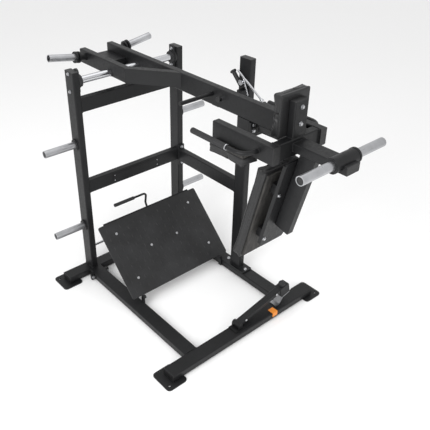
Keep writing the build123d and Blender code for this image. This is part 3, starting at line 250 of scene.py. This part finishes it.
def powder_coat(name, colour, roughness=0.42):
    """Baked paint: orange-peel relief, fine sparkle in the roughness, dust in broad clouds."""
    finish = Finish(name, colour, roughness)
    finish.tint(finish.noise(3.5, 4.0), scaled(colour, 0.82), scaled(colour, 1.28))
    finish.rough(finish.noise(60.0, 3.0), roughness - 0.05, roughness + 0.10)
    finish.bump(finish.noise(420.0, 1.0), 0.00016, 0.55)
    finish.bump(finish.noise(1500.0, 1.0), 0.00006, 0.4)
    finish.shader.inputs["Specular IOR Level"].default_value = 0.3
    return finish.material


def satin_steel(name, colour, stretch, roughness=0.33):
    """Bare steel: drawn lines along one axis and faint stains."""
    finish = Finish(name, colour, roughness, 1.0)
    finish.tint(finish.noise(9.0, 5.0), scaled(colour, 0.85), scaled(colour, 1.10))
    lines = finish.noise(220.0, 3.0, stretch)
    finish.rough(lines, roughness - 0.07, roughness + 0.12)
    finish.bump(lines, 0.00005, 0.35)
    return finish.material


def polished_steel(name, colour):
    finish = Finish(name, colour, 0.14, 1.0)
    finish.rough(finish.noise(45.0, 4.0), 0.09, 0.22)
    finish.bump(finish.noise(700.0, 1.0), 0.00002, 0.3)
    return finish.material


def plated_bolt(name, colour):
    """Zinc plating: small mottles and a brushed top."""
    finish = Finish(name, colour, 0.30, 1.0)
    finish.tint(finish.cells(260.0), scaled(colour, 0.80), scaled(colour, 1.15), 0.1, 0.8)
    finish.rough(finish.noise(300.0, 2.0), 0.22, 0.42)
    finish.bump(finish.noise(900.0, 1.0), 0.00003, 0.4)
    return finish.material


def moulded(name, colour, roughness, grain, height):
    """Moulded plastic or rubber with a fine pebbled skin."""
    finish = Finish(name, colour, roughness)
    finish.tint(finish.noise(14.0, 3.0), scaled(colour, 0.85), scaled(colour, 1.25))
    finish.rough(finish.noise(120.0, 2.0), roughness - 0.06, roughness + 0.08)
    finish.bump(finish.cells(grain), height, 0.5)
    return finish.material


def vinyl(name, colour):
    """Upholstery vinyl: small rounded cells with creases between them, and slow soft wrinkles."""
    finish = Finish(name, colour, 0.42)
    finish.tint(finish.noise(6.0, 4.0), scaled(colour, 0.85), scaled(colour, 1.3))
    finish.rough(finish.cells(520.0), 0.34, 0.52, 0.0, 0.7)
    finish.bump(finish.cells(520.0, "SMOOTH_F1"), 0.00022, 0.5)
    finish.bump(finish.noise(26.0, 2.0), 0.0009, 0.35)
    finish.shader.inputs["Sheen Weight"].default_value = 0.08
    finish.shader.inputs["Sheen Roughness"].default_value = 0.4
    return finish.material


def stained_board(name, colour):
    """Plywood with a dark stain: grain lines along Z."""
    finish = Finish(name, colour, 0.7)
    grain = finish.noise(60.0, 4.0, (1.0, 1.0, 0.08))
    finish.tint(grain, scaled(colour, 0.6), scaled(colour, 1.5))
    finish.bump(grain, 0.0002, 0.5)
    return finish.material


def cast_housing(name, colour):
    finish = Finish(name, colour, 0.55)
    finish.tint(finish.noise(20.0, 4.0), scaled(colour, 0.8), scaled(colour, 1.3))
    finish.bump(finish.noise(190.0, 3.0), 0.0005, 0.6)
    return finish.material


def worn_deck(name, colour):
    """Powder coat on the standing surface, with scuffed lighter clouds where shoes go."""
    finish = Finish(name, colour, 0.5)
    finish.tint(finish.noise(7.0, 6.0), scaled(colour, 0.8), scaled(colour, 1.7), 0.4, 0.75)
    finish.rough(finish.noise(24.0, 5.0), 0.38, 0.62)
    finish.bump(finish.noise(380.0, 1.0), 0.0002, 0.6)
    return finish.material


def make_materials():
    chosen = colours()
    paint, steel, rubber = tuple(chosen.paint), tuple(chosen.steel), tuple(chosen.rubber)
    return {
        "black_steel": powder_coat("black_powder_coat", paint),
        "deck_steel": worn_deck("deck_powder_coat", tuple(chosen.deck)),
        "horn_chrome": satin_steel("horn_satin_steel", steel, (0.02, 1.0, 1.0)),
        "bolt_steel": plated_bolt("bolt_zinc", scaled(steel, 1.15)),
        "bright_steel": polished_steel("polished_steel", scaled(steel, 1.3)),
        "light_steel": satin_steel("bent_sheet_steel", scaled(steel, 0.8), (1.0, 0.05, 1.0), 0.4),
        "cast_housing": cast_housing("painted_casting", scaled(paint, 1.4)),
        "black_plastic": moulded("black_plastic", scaled(paint, 0.7), 0.45, 700.0, 0.00008),
        "grip_rubber": moulded("grip_rubber", rubber, 0.62, 900.0, 0.00012),
        "pad_vinyl": vinyl("cushion_vinyl", tuple(chosen.vinyl)),
        "pad_board": stained_board("stained_board", (0.030, 0.028, 0.026)),
        "orange_steel": powder_coat("orange_powder_coat", tuple(chosen.orange), 0.35),
    }


def material(slot):
    """The finish of a record's slot, made once."""
    if "finishes" not in frame:
        frame["finishes"] = make_materials()
    return frame["finishes"][slot]


# ------------------------------------------------------------------ mesh helpers
def quads(rows, columns, wrap_rows=False, wrap_columns=True):
    """Four-sided faces between neighbouring rows and columns of a grid of points."""
    row = np.arange(rows if wrap_rows else rows - 1)
    column = np.arange(columns if wrap_columns else columns - 1)
    r, c = np.meshgrid(row, column, indexing="ij")
    r_next = (r + 1) % rows
    c_next = (c + 1) % columns
    corners = (r * columns + c, r_next * columns + c, r_next * columns + c_next, r * columns + c_next)
    return np.stack(corners, axis=-1).reshape(-1, 4)


def new_piece(name, points, faces, slot, body):
    """Mesh object from arrays of points and faces, smooth, with the slot's finish, on a body."""
    mesh = bpy.data.meshes.new(name)
    mesh.from_pydata(points.reshape(-1, 3).tolist(), [], [list(face) for face in faces])
    mesh.polygons.foreach_set("use_smooth", np.ones(len(mesh.polygons), bool))
    mesh.materials.append(material(slot))
    mesh.update()
    piece = bpy.data.objects.new(name, mesh)
    bpy.context.scene.collection.objects.link(piece)
    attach(piece, body)
    return piece


def joined(parts):
    """One set of points and faces from several, each part's faces counted on from the last."""
    points = []
    faces = []
    start = 0
    for part_points, part_faces in parts:
        flat = part_points.reshape(-1, 3)
        points.append(flat)
        faces.extend([tuple(int(i) + start for i in face) for face in part_faces])
        start += len(flat)
    return np.concatenate(points), faces


def ring_path(wide, tall, corner, count):
    """Points evenly spaced by length round a rectangle with quarter-circle corners."""
    angle = np.linspace(0.0, np.pi / 2, 9)
    centres = ((1, 1), (-1, 1), (-1, -1), (1, -1))
    arcs = []
    for turn, (sx, sy) in enumerate(centres):
        theta = angle + turn * np.pi / 2
        x = sx * (wide / 2 - corner) + corner * np.cos(theta)
        y = sy * (tall / 2 - corner) + corner * np.sin(theta)
        arcs.append(np.stack((x, y), axis=-1))
    outline = np.concatenate(arcs + [arcs[0][:1]])
    length = np.concatenate(([0.0], np.cumsum(np.linalg.norm(np.diff(outline, axis=0), axis=1))))
    at = np.linspace(0.0, length[-1], count, endpoint=False)
    return np.stack([np.interp(at, length, outline[:, k]) for k in (0, 1)], axis=-1), length[-1]


def closed_tube(path, normal, radius, around=8):
    """Round tube along a closed path: the point at angle a is path + r (cos a side + sin a normal),
    where side is square to the path and to the plane's normal. The radius may vary along the path."""
    ahead = np.roll(path, -1, axis=0) - np.roll(path, 1, axis=0)
    ahead /= np.linalg.norm(ahead, axis=1, keepdims=True)
    side = np.cross(ahead, normal)
    side /= np.linalg.norm(side, axis=1, keepdims=True)
    angle = np.linspace(0.0, 2 * np.pi, around, endpoint=False)
    reach = np.broadcast_to(np.asarray(radius, float), (len(path),))[:, None, None]
    up = np.broadcast_to(normal, path.shape)[:, None, :]
    rings = side[:, None, :] * np.cos(angle)[None, :, None] + up * np.sin(angle)[None, :, None]
    return path[:, None, :] + reach * rings, quads(len(path), around, wrap_rows=True)


def lathe(start, end, stations, radii, around=40):
    """Surface of revolution about the line from start to end. stations go from 0 to 1 along it,
    and each ring's radius is given; the first and last rings close to a pole."""
    start = np.asarray(start, float)
    axis = np.asarray(end, float) - start
    length = np.linalg.norm(axis)
    ahead = axis / length
    helper = np.array((0.0, 0.0, 1.0)) if abs(ahead[2]) < 0.9 else np.array((1.0, 0.0, 0.0))
    side = np.cross(helper, ahead)
    side /= np.linalg.norm(side)
    up = np.cross(ahead, side)
    angle = np.linspace(0.0, 2 * np.pi, around, endpoint=False)
    round_it = side[None, :] * np.cos(angle)[:, None] + up[None, :] * np.sin(angle)[:, None]
    centres = start + axis[None, :] * np.asarray(stations)[:, None]
    rings = centres[:, None, :] + np.asarray(radii)[:, None, None] * round_it[None, :, :]
    faces = [tuple(face[::-1]) for face in quads(len(stations), around)]
    rows = len(stations)
    faces.append(tuple(range(around))[::-1])
    faces.append(tuple(range((rows - 1) * around, rows * around)))
    return rings, faces


def outward(piece):
    """Turns every face outwards, after doubled points are merged."""
    work = bmesh.new()
    work.from_mesh(piece.data)
    bmesh.ops.remove_doubles(work, verts=work.verts, dist=MERGE)
    bmesh.ops.recalc_face_normals(work, faces=work.faces)
    work.to_mesh(piece.data)
    work.free()


def half_box(node, side):
    """Lowest and highest corner of the part of a node on one side of the middle."""
    mesh = NODES[node].data
    points = np.empty(len(mesh.vertices) * 3, np.float32)
    mesh.vertices.foreach_get("co", points)
    points = points.reshape(-1, 3)
    chosen = points[points[:, 0] * side > 0]
    return Vector(chosen.min(0)), Vector(chosen.max(0))


# ------------------------------------------------------------------ welds
def bead_round(centre, across, upward, wide, tall, corner):
    """Weld bead round a tube's end: a closed tube whose radius swells with the ripples,
    r = bead (0.8 + 0.2 |sin(pi s / ripple)|), with s the length along the seam."""
    size = sizes()
    _, length = ring_path(wide, tall, corner, 16)
    count = int(length / size.ripple * 4)
    path, _ = ring_path(wide, tall, corner, count)
    along = np.arange(count) * length / count
    radius = size.bead * (0.8 + 0.2 * np.abs(np.sin(np.pi * along / size.ripple)))
    across = np.asarray(across, float)
    upward = np.asarray(upward, float)
    points = np.asarray(centre, float) + path[:, :1] * across + path[:, 1:] * upward
    return closed_tube(points, np.cross(across, upward), radius)


def end_bead(low, high, axis, top):
    """Bead round the end of a straight tube's box: axis is 0, 1 or 2, top its upper end."""
    middle = (Vector(low) + Vector(high)) / 2
    size = Vector(high) - Vector(low)
    middle[axis] = high[axis] if top else low[axis]
    first, second = [k for k in range(3) if k != axis]
    across = [float(k == first) for k in range(3)]
    upward = [float(k == second) for k in range(3)]
    return bead_round(middle, across, upward, size[first], size[second], TUBE_CORNER)


def round_bead(centre, normal, radius):
    """Bead round a bar where it meets a face."""
    normal = np.asarray(Vector(normal).normalized())
    helper = np.array((0.0, 0.0, 1.0)) if abs(normal[2]) < 0.9 else np.array((1.0, 0.0, 0.0))
    across = np.cross(helper, normal)
    across /= np.linalg.norm(across)
    upward = np.cross(normal, across)
    return bead_round(centre, across, upward, 2 * radius, 2 * radius, radius * 0.999)


class SQUAT_OT_frame_welds(Operator):
    """Weld beads where the fixed frame's tubes meet"""

    bl_idname = "squat.frame_welds"
    bl_label = "Frame welds"

    def execute(self, context):
        beads = []
        for node in ("crossbeam_top", "crossbeam_middle"):
            for top in (False, True):
                beads.append(end_bead(*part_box(node), 0, top))
        for node in ("upright_left", "upright_right"):
            beads.append(end_bead(*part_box(node), 2, False))
        for side in (-1, 1):
            beads.append(end_bead(*half_box("base_rails", side), 1, False))
        low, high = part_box("front_post")
        post_high = Vector((high.x - POST_FOOT_SIDE, high.y - POST_FOOT_REACH, high.z))
        post_low = Vector((post_high.x - TUBE_THIN, low.y + POST_FOOT_REACH, low.z + POST_FOOT_THICK))
        beads.append(end_bead(post_low, post_high, 2, False))
        low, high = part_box("side_brace")
        middle = (low.z + high.z) / 2
        brace_low = (low.x, low.y, middle - TUBE_DEEP / 2)
        brace_high = (high.x, high.y, middle + TUBE_DEEP / 2)
        flange_face = (high.x, high.y - BRACE_FLANGE, middle + TUBE_DEEP / 2)
        beads.append(end_bead(brace_low, flange_face, 1, True))
        beads.append(end_bead(brace_low, brace_high, 1, False))
        for side in (-1, 1):
            low, high = half_box("storage_collars", side)
            face = min(abs(low.x), abs(high.x))
            y = (low.y + high.y) / 2
            radius = (high.y - low.y) / 2
            for z in (low.z + radius, high.z - radius):
                beads.append(round_bead((side * face, y, z), (side, 0, 0), radius))
        points, faces = joined(beads)
        outward(new_piece("frame_weld_beads", points, faces, "black_steel", "frame"))
        return {"FINISHED"}


class SQUAT_OT_pendulum_welds(Operator):
    """Weld beads on the swinging arm and its carriage"""

    bl_idname = "squat.pendulum_welds"
    bl_label = "Pendulum welds"

    def execute(self, context):
        beads = []
        for top in (False, True):
            beads.append(end_bead(*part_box("yoke"), 0, top))
        beads.append(end_bead(*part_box("front_beam"), 1, True))
        low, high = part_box("head_post")
        beads.append(end_bead(low, high, 2, False))
        shaft_low, shaft_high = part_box("pivot_shaft")
        y = (shaft_low.y + shaft_high.y) / 2
        z = (shaft_low.z + shaft_high.z) / 2
        radius = (shaft_high.z - shaft_low.z) / 2
        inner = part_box("weight_box")[1].x
        for side in (-1, 1):
            for x in (inner, inner + TUBE_THIN):
                beads.append(round_bead((side * x, y, z), (side, 0, 0), radius))
        root_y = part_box("handle_bars")[0].y + HANDLE_R
        grips_low, grips_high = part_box("handle_grips")
        root_z = (grips_low.z + grips_high.z) / 2
        tubes_low, tubes_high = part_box("shoulder_tubes")
        for x in (tubes_low.x, tubes_high.x):
            beads.append(round_bead((x, root_y, root_z), (1, 0, 0), HANDLE_R))
        points, faces = joined(beads)
        outward(new_piece("pendulum_weld_beads", points, faces, "black_steel", "pendulum"))
        return {"FINISHED"}


# ------------------------------------------------------------------ foot plate
def deck_axes():
    """Middle of the standing surface's lower edge, the way up the deck and the way off it."""
    low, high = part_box("deck")
    uphill = np.array((0.0, cos(DECK_SLOPE), sin(DECK_SLOPE)))
    off = np.array((0.0, -sin(DECK_SLOPE), cos(DECK_SLOPE)))
    start = np.array(((low.x + high.x) / 2, low.y, low.z + DECK_THICK * cos(DECK_SLOPE)))
    run = (high.z - start[2]) / sin(DECK_SLOPE)
    return start, uphill, off, high.x - low.x, run


class SQUAT_OT_treads(Operator):
    """Raised tread marks in staggered columns on the foot plate"""

    bl_idname = "squat.treads"
    bl_label = "Treads"

    def execute(self, context):
        """Each mark is a low dome on an oval: rings at fractions f of the oval's radii, at
        height tall * (1 - f^4), closed by a point at the top."""
        size = sizes()
        start, uphill, off, wide, run = deck_axes()
        fractions = np.array((1.0, 0.92, 0.75, 0.4))
        angle = np.linspace(0.0, 2 * np.pi, 14, endpoint=False)
        x = fractions[:, None] * np.cos(angle) * size.tread_wide / 2
        rounded = np.sign(np.sin(angle)) * np.abs(np.sin(angle)) ** TREAD_SQUARENESS
        y = fractions[:, None] * rounded * size.tread_long / 2
        z = np.broadcast_to((size.tread_tall * (1.0 - fractions**4))[:, None], x.shape)
        mark = np.stack((x, y, z), axis=-1).reshape(-1, 3)
        mark = np.vstack((mark, (0.0, 0.0, size.tread_tall)))
        faces = [tuple(face[::-1]) for face in quads(len(fractions), len(angle))]
        ring = (len(fractions) - 1) * len(angle)
        peak = len(mark) - 1
        faces += [(ring + k, ring + (k + 1) % len(angle), peak) for k in range(len(angle))]
        half = wide / 2 - size.tread_margin
        across = np.linspace(-half, half, size.tread_columns)
        pitch = (run - 2 * size.tread_margin) / (size.tread_rows - 1)
        parts = []
        for column, at in enumerate(across):
            for row in range(size.tread_rows - column % 2):
                up = size.tread_margin + (row + (column % 2) / 2) * pitch
                centre = start + uphill * up
                points = centre + mark[:, 1:2] * uphill + mark[:, 2:3] * off
                points[:, 0] += at + mark[:, 0]
                parts.append((points, faces))
        points, all_faces = joined(parts)
        piece = new_piece("deck_treads", points, all_faces, "deck_steel", "foot_plate")
        outward(piece)
        return {"FINISHED"}


# ------------------------------------------------------------------ cushions
def cover_mesh(node):
    """Even mesh of a CAD cushion: its triangles are merged and remeshed by voxels."""
    work = bmesh.new()
    work.from_mesh(NODES[node].data)
    bmesh.ops.remove_doubles(work, verts=work.verts, dist=MERGE)
    raw = bpy.data.meshes.new(f"{node}_raw")
    work.to_mesh(raw)
    work.free()
    holder = bpy.data.objects.new(f"{node}_raw", raw)
    bpy.context.scene.collection.objects.link(holder)
    remesh = holder.modifiers.new("even", "REMESH")
    remesh.mode = "VOXEL"
    remesh.voxel_size = sizes().voxel
    remesh.use_smooth_shade = True
    graph = bpy.context.evaluated_depsgraph_get()
    mesh = bpy.data.meshes.new_from_object(holder.evaluated_get(graph))
    bpy.data.objects.remove(holder)
    bpy.data.meshes.remove(raw)
    return mesh


def points_of(mesh):
    points = np.empty(len(mesh.vertices) * 3, np.float32)
    mesh.vertices.foreach_get("co", points)
    return points.reshape(-1, 3).astype(float)


def normals_of(mesh):
    normals = np.empty(len(mesh.vertices) * 3, np.float32)
    mesh.vertices.foreach_get("normal", normals)
    return normals.reshape(-1, 3).astype(float)


def filled(mesh, name):
    """The cover after air pressure has swollen it as cloth for twenty frames."""
    holder = bpy.data.objects.new(f"{name}_cloth", mesh)
    bpy.context.scene.collection.objects.link(holder)
    cloth = holder.modifiers.new("cover", "CLOTH")
    settings = cloth.settings
    settings.quality = 5
    settings.mass = 0.4
    settings.tension_stiffness = 25.0
    settings.compression_stiffness = 20.0
    settings.bending_stiffness = 1.5
    settings.use_pressure = True
    settings.uniform_pressure_force = 4.0
    settings.effector_weights.gravity = 0.0
    cloth.point_cache.frame_start = 1
    cloth.point_cache.frame_end = CLOTH_FRAMES
    scene = bpy.context.scene
    for step in range(1, CLOTH_FRAMES + 1):
        scene.frame_set(step)
    graph = bpy.context.evaluated_depsgraph_get()
    swollen = bpy.data.meshes.new_from_object(holder.evaluated_get(graph))
    points = points_of(swollen)
    bpy.data.objects.remove(holder)
    bpy.data.meshes.remove(swollen)
    scene.frame_set(1)
    return points


def cushion(name, node, body, rest_side):
    """Upholstered pad from its CAD solid. The cover starts pulled in, swells under pressure by
    at most the puff, stays flat on the side that it rests on, and is drawn in along a seam:
    inward by 2 mm exp(-(d / 4 mm)^2), with d the distance from the seam's plane."""
    size = sizes()
    mesh = cover_mesh(node)
    start = points_of(mesh)
    normals = normals_of(mesh)
    rest_side = np.asarray(rest_side, float)
    depth = start @ rest_side
    from_board = depth.max() - depth
    free = np.clip(from_board / BOARD_BLEND, 0.0, 1.0)
    free = free * free * (3.0 - 2.0 * free)
    begin = start - normals * (size.shrink * free)[:, None]
    mesh.vertices.foreach_set("co", begin.astype(np.float32).ravel())
    mesh.update()
    move = filled(mesh.copy(), name) - begin
    reach = np.linalg.norm(move, axis=1, keepdims=True)
    move *= np.minimum(1.0, size.puff / np.maximum(reach, 1e-9))
    points = begin + move * free[:, None]
    thick = depth.max() - depth.min()
    from_seam = np.abs(from_board - SEAM_AT * thick)
    points -= normals * (SEAM_DEEP * np.exp(-((from_seam / SEAM_WIDE) ** 2)))[:, None]
    mesh.vertices.foreach_set("co", points.astype(np.float32).ravel())
    mesh.polygons.foreach_set("use_smooth", np.ones(len(mesh.polygons), bool))
    mesh.materials.clear()
    mesh.materials.append(material("pad_vinyl"))
    mesh.update()
    piece = bpy.data.objects.new(name, mesh)
    bpy.context.scene.collection.objects.link(piece)
    smooth = piece.modifiers.new("fine", "SUBSURF")
    smooth.levels = 1
    smooth.render_levels = 1
    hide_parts(node)
    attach(piece, body)
    return piece


def piping(name, cover, centre, across, upward, wide, tall, corner):
    """Sewn piping: a closed tube round the cushion, each point drawn onto the cover's surface."""
    path, length = ring_path(wide, tall, corner, PIPING_POINTS)
    across = np.asarray(across, float)
    upward = np.asarray(upward, float)
    flat = np.asarray(centre, float) + path[:, :1] * across + path[:, 1:] * upward
    faces = [polygon.vertices for polygon in cover.data.polygons]
    tree = BVHTree.FromPolygons(points_of(cover.data).tolist(), faces)
    on_cover = np.array([tree.find_nearest(Vector(point))[0] for point in flat])
    smooth = (np.roll(on_cover, 1, axis=0) + on_cover + np.roll(on_cover, -1, axis=0)) / 3
    points, faces = closed_tube(smooth, np.cross(across, upward), sizes().piping, 10)
    piece = new_piece(name, points, faces, "pad_vinyl", "pendulum")
    outward(piece)
    return piece


class SQUAT_OT_back_cushion(Operator):
    """The long back cushion with its piping"""

    bl_idname = "squat.back_cushion"
    bl_label = "Back cushion"

    def execute(self, context):
        off = np.array((0.0, cos(BACK_LEAN), sin(BACK_LEAN)))
        up = np.array((0.0, -sin(BACK_LEAN), cos(BACK_LEAN)))
        cover = cushion("back_cushion", "back_pad", "pendulum", -off)
        points = points_of(cover.data)
        depth = points @ off
        height = points @ up
        middle_depth = depth.min() + PIPING_AT * np.ptp(depth)
        middle_height = (height.min() + height.max()) / 2
        centre = off * middle_depth + up * middle_height
        wide = np.ptp(points[:, 0])
        piping("back_piping", cover, centre, (1, 0, 0), up, wide, np.ptp(height), PIPING_CORNER)
        return {"FINISHED"}


class SQUAT_OT_head_cushion(Operator):
    """The head cushion with its piping"""

    bl_idname = "squat.head_cushion"
    bl_label = "Head cushion"

    def execute(self, context):
        cover = cushion("head_cushion", "head_pad", "pendulum", (0, -1, 0))
        points = points_of(cover.data)
        low, high = points.min(0), points.max(0)
        centre = (low + high) / 2
        centre[1] = low[1] + PIPING_AT * (high[1] - low[1])
        wide, tall = high[0] - low[0], high[2] - low[2]
        piping("head_piping", cover, centre, (1, 0, 0), (0, 0, 1), wide, tall, PIPING_CORNER)
        return {"FINISHED"}


class SQUAT_OT_shoulder_cushions(Operator):
    """The two shoulder cushions with their piping"""

    bl_idname = "squat.shoulder_cushions"
    bl_label = "Shoulder cushions"

    def execute(self, context):
        for side in ("left", "right"):
            cover = cushion(f"shoulder_cushion_{side}", f"shoulder_pad_{side}", "pendulum", (0, 0, 1))
            points = points_of(cover.data)
            low, high = points.min(0), points.max(0)
            centre = (low + high) / 2
            centre[2] = high[2] - PIPING_AT * (high[2] - low[2])
            name = f"shoulder_piping_{side}"
            wide, deep = high[0] - low[0], high[1] - low[1]
            corner = SHOULDER_PIPING_CORNER
            piping(name, cover, centre, (1, 0, 0), (0, 1, 0), wide, deep, corner)
        return {"FINISHED"}


# ------------------------------------------------------------------ grips and small parts
def ribbed_profile(length, radius):
    """Stations and radii of a grip: a rounded rim at each end and ribs between, where
    r = radius - rib_deep (0.5 - 0.5 cos(2 pi s / pitch))^2."""
    size = sizes()
    rim = radius * 0.35
    turn = np.linspace(0.0, np.pi / 2, 6)
    s_rim = rim * (1.0 - np.cos(turn))
    r_rim = radius - rim + rim * np.sin(turn)
    ribs = int((length - 6 * rim) / size.rib_pitch)
    s_rib = np.linspace(0.0, ribs * size.rib_pitch, ribs * 8 + 1)
    wave = 0.5 - 0.5 * np.cos(2 * np.pi * s_rib / size.rib_pitch)
    r_rib = radius - size.rib_deep * wave**2
    first = (length - ribs * size.rib_pitch) / 2
    stations = np.concatenate((s_rim, first + s_rib, length - s_rim[::-1]))
    radii = np.concatenate((r_rim, r_rib, r_rim[::-1]))
    return stations / length, radii


class SQUAT_OT_grips(Operator):
    """Ribbed rubber grips on the handles and on the adjusting lever"""

    bl_idname = "squat.grips"
    bl_label = "Grips"

    def execute(self, context):
        parts = []
        for side in (-1, 1):
            low, high = half_box("handle_grips", side)
            radius = (high.z - low.z) / 2
            x, z = (low.x + high.x) / 2, (low.z + high.z) / 2
            stations, radii = ribbed_profile(high.y - low.y, radius)
            parts.append(lathe((x, low.y, z), (x, high.y, z), stations, radii))
        points, faces = joined(parts)
        grips = new_piece("handle_grip_sleeves", points, faces, "grip_rubber", "pendulum")
        outward(grips)
        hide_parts("handle_grips")
        low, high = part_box("prop_grip")
        y, z = (low.y + high.y) / 2, (low.z + high.z) / 2
        stations, radii = ribbed_profile(high.x - low.x, (high.z - low.z) / 2)
        points, faces = lathe((low.x, y, z), (high.x, y, z), stations, radii)
        grip = new_piece("prop_grip_sleeve", points, faces, "grip_rubber", "prop_lever")
        outward(grip)
        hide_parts("prop_grip")
        return {"FINISHED"}


def dome(centre, normal, radius, height):
    """Rivet head: a cap whose radius shrinks as cos and whose height grows as sin."""
    turn = np.linspace(0.0, np.pi / 2 * 0.96, 6)
    stations = np.concatenate(([0.0], np.sin(turn)))
    radii = np.concatenate(([radius * 0.9], radius * np.cos(turn)))
    end = np.asarray(centre, float) + np.asarray(normal, float) * height
    return lathe(centre, end, stations, radii, 16)


class SQUAT_OT_rivets(Operator):
    """Rivets at the blank plate's corners and round bolts on the stop arm"""

    bl_idname = "squat.rivets"
    bl_label = "Rivets"

    def execute(self, context):
        size = sizes()
        low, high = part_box("blank_plate")
        inset = PLATE_RIVET_INSET
        parts = []
        for x in (low.x + inset, high.x - inset):
            for z in (low.z + inset, high.z - inset):
                parts.append(dome((x, low.y + 0.0002, z), (0, -1, 0), size.rivet, size.rivet * 0.55))
        points, faces = joined(parts)
        outward(new_piece("plate_rivets", points, faces, "bolt_steel", "frame"))
        low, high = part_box("stop_arm")
        hub_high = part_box("stop_bracket")[1]
        parts = []
        pin = np.array((STOP_PIN_X, (low.y + high.y) / 2, hub_high.z - STOP_HUB_R))
        for reach in STOP_BOLTS_AT:
            centre = pin + reach * np.array((cos(STOP_RISE), 0.0, sin(STOP_RISE)))
            centre[1] -= STOP_BOLT_OFF
            parts.append(dome(centre, (0, -1, 0), STOP_BOLT_R, STOP_BOLT_TALL))
        points, faces = joined(parts)
        outward(new_piece("stop_arm_bolts", points, faces, "bolt_steel", "stop_arm"))
        return {"FINISHED"}


class SQUAT_OT_finishes(Operator):
    """Puts each slot's finish on the CAD nodes"""

    bl_idname = "squat.finishes"
    bl_label = "Finishes"

    def execute(self, context):
        for entry in frame["record"]["subparts"]:
            mesh = NODES[entry["node"]].data
            mesh.materials.clear()
            mesh.materials.append(material(entry["material_slot"]))
        return {"FINISHED"}


# ------------------------------------------------------------------ stage
def area_light(name, place, target, size, power):
    lamp = bpy.data.lights.new(name, "AREA")
    lamp.shape = "DISK"
    lamp.size = size
    lamp.energy = power
    light = bpy.data.objects.new(name, lamp)
    light.location = place
    light.rotation_euler = (Vector(target) - Vector(place)).to_track_quat("-Z", "Y").to_euler()
    bpy.context.scene.collection.objects.link(light)
    return light


class SQUAT_OT_stage(Operator):
    """Pale floor, soft lights and the camera"""

    bl_idname = "squat.stage"
    bl_label = "Stage"

    def execute(self, context):
        scene = bpy.context.scene
        sides = ((-1, -1, 0), (1, -1, 0), (1, 1, 0), (-1, 1, 0))
        corners = FLOOR_REACH * np.array(sides)
        mesh = bpy.data.meshes.new("floor")
        mesh.from_pydata(corners.tolist(), [], [(0, 1, 2, 3)])
        floor = bpy.data.objects.new("floor", mesh)
        scene.collection.objects.link(floor)
        pale = Finish("floor_paint", tuple(colours().floor), 0.6)
        pale.bump(pale.noise(30.0, 3.0), 0.0005, 0.1)
        mesh.materials.append(pale.material)
        world = bpy.data.worlds.new("studio")
        world.use_nodes = True
        scene.view_settings.view_transform = "Standard"
        sky = world.node_tree.nodes["Background"]
        sky.inputs["Color"].default_value = (1.0, 1.0, 1.0, 1.0)
        sky.inputs["Strength"].default_value = 0.85
        scene.world = world
        middle = (0.0, 0.0, 0.9)
        area_light("key", (-4.5, -1.5, 3.4), middle, 3.0, 170.0)
        area_light("front", (-0.5, -5.0, 2.6), middle, 3.0, 40.0)
        area_light("top", (0.5, 1.0, 5.0), middle, 4.0, 30.0)
        lens = bpy.data.cameras.new("camera")
        lens.lens = 49.76
        lens.sensor_width = 36.0
        lens.shift_x = 0.0638
        lens.shift_y = -0.0321
        camera = bpy.data.objects.new("camera", lens)
        camera.location = (-2.2095, -2.5432, 2.8963)
        camera.rotation_euler = (radians(58.30), 0.0, radians(-39.83))
        scene.collection.objects.link(camera)
        scene.camera = camera
        return {"FINISHED"}


class SQUAT_PT_panel(Panel):
    """Lists the machine's pieces and their settings"""

    bl_label = "Hack Squat"
    bl_idname = "SQUAT_PT_panel"
    bl_space_type = "VIEW_3D"
    bl_region_type = "UI"
    bl_category = "Hack Squat"

    def draw(self, context):
        for step in STEPS:
            self.layout.operator(step.bl_idname)
        for group in (context.scene.squat_sizes, context.scene.squat_colours):
            box = self.layout.box()
            for name in group.__annotations__:
                box.prop(group, name)


STEPS = (
    SQUAT_OT_finishes,
    SQUAT_OT_back_cushion,
    SQUAT_OT_head_cushion,
    SQUAT_OT_shoulder_cushions,
    SQUAT_OT_treads,
    SQUAT_OT_frame_welds,
    SQUAT_OT_pendulum_welds,
    SQUAT_OT_grips,
    SQUAT_OT_rivets,
    SQUAT_OT_stage,
)
CLASSES = (SquatSizes, SquatColours, *STEPS, SQUAT_PT_panel)


def register():
    for item in CLASSES:
        bpy.utils.register_class(item)
    bpy.types.Scene.squat_sizes = PointerProperty(type=SquatSizes)
    bpy.types.Scene.squat_colours = PointerProperty(type=SquatColours)


def unregister():
    del bpy.types.Scene.squat_colours
    del bpy.types.Scene.squat_sizes
    for item in reversed(CLASSES):
        bpy.utils.unregister_class(item)


def main():
    register()
    bpy.ops.squat.finishes()
    bpy.ops.squat.back_cushion()
    bpy.ops.squat.head_cushion()
    bpy.ops.squat.shoulder_cushions()
    bpy.ops.squat.treads()
    bpy.ops.squat.frame_welds()
    bpy.ops.squat.pendulum_welds()
    bpy.ops.squat.grips()
    bpy.ops.squat.rivets()
    bpy.ops.squat.stage()


if __name__ == "__main__":
    main()
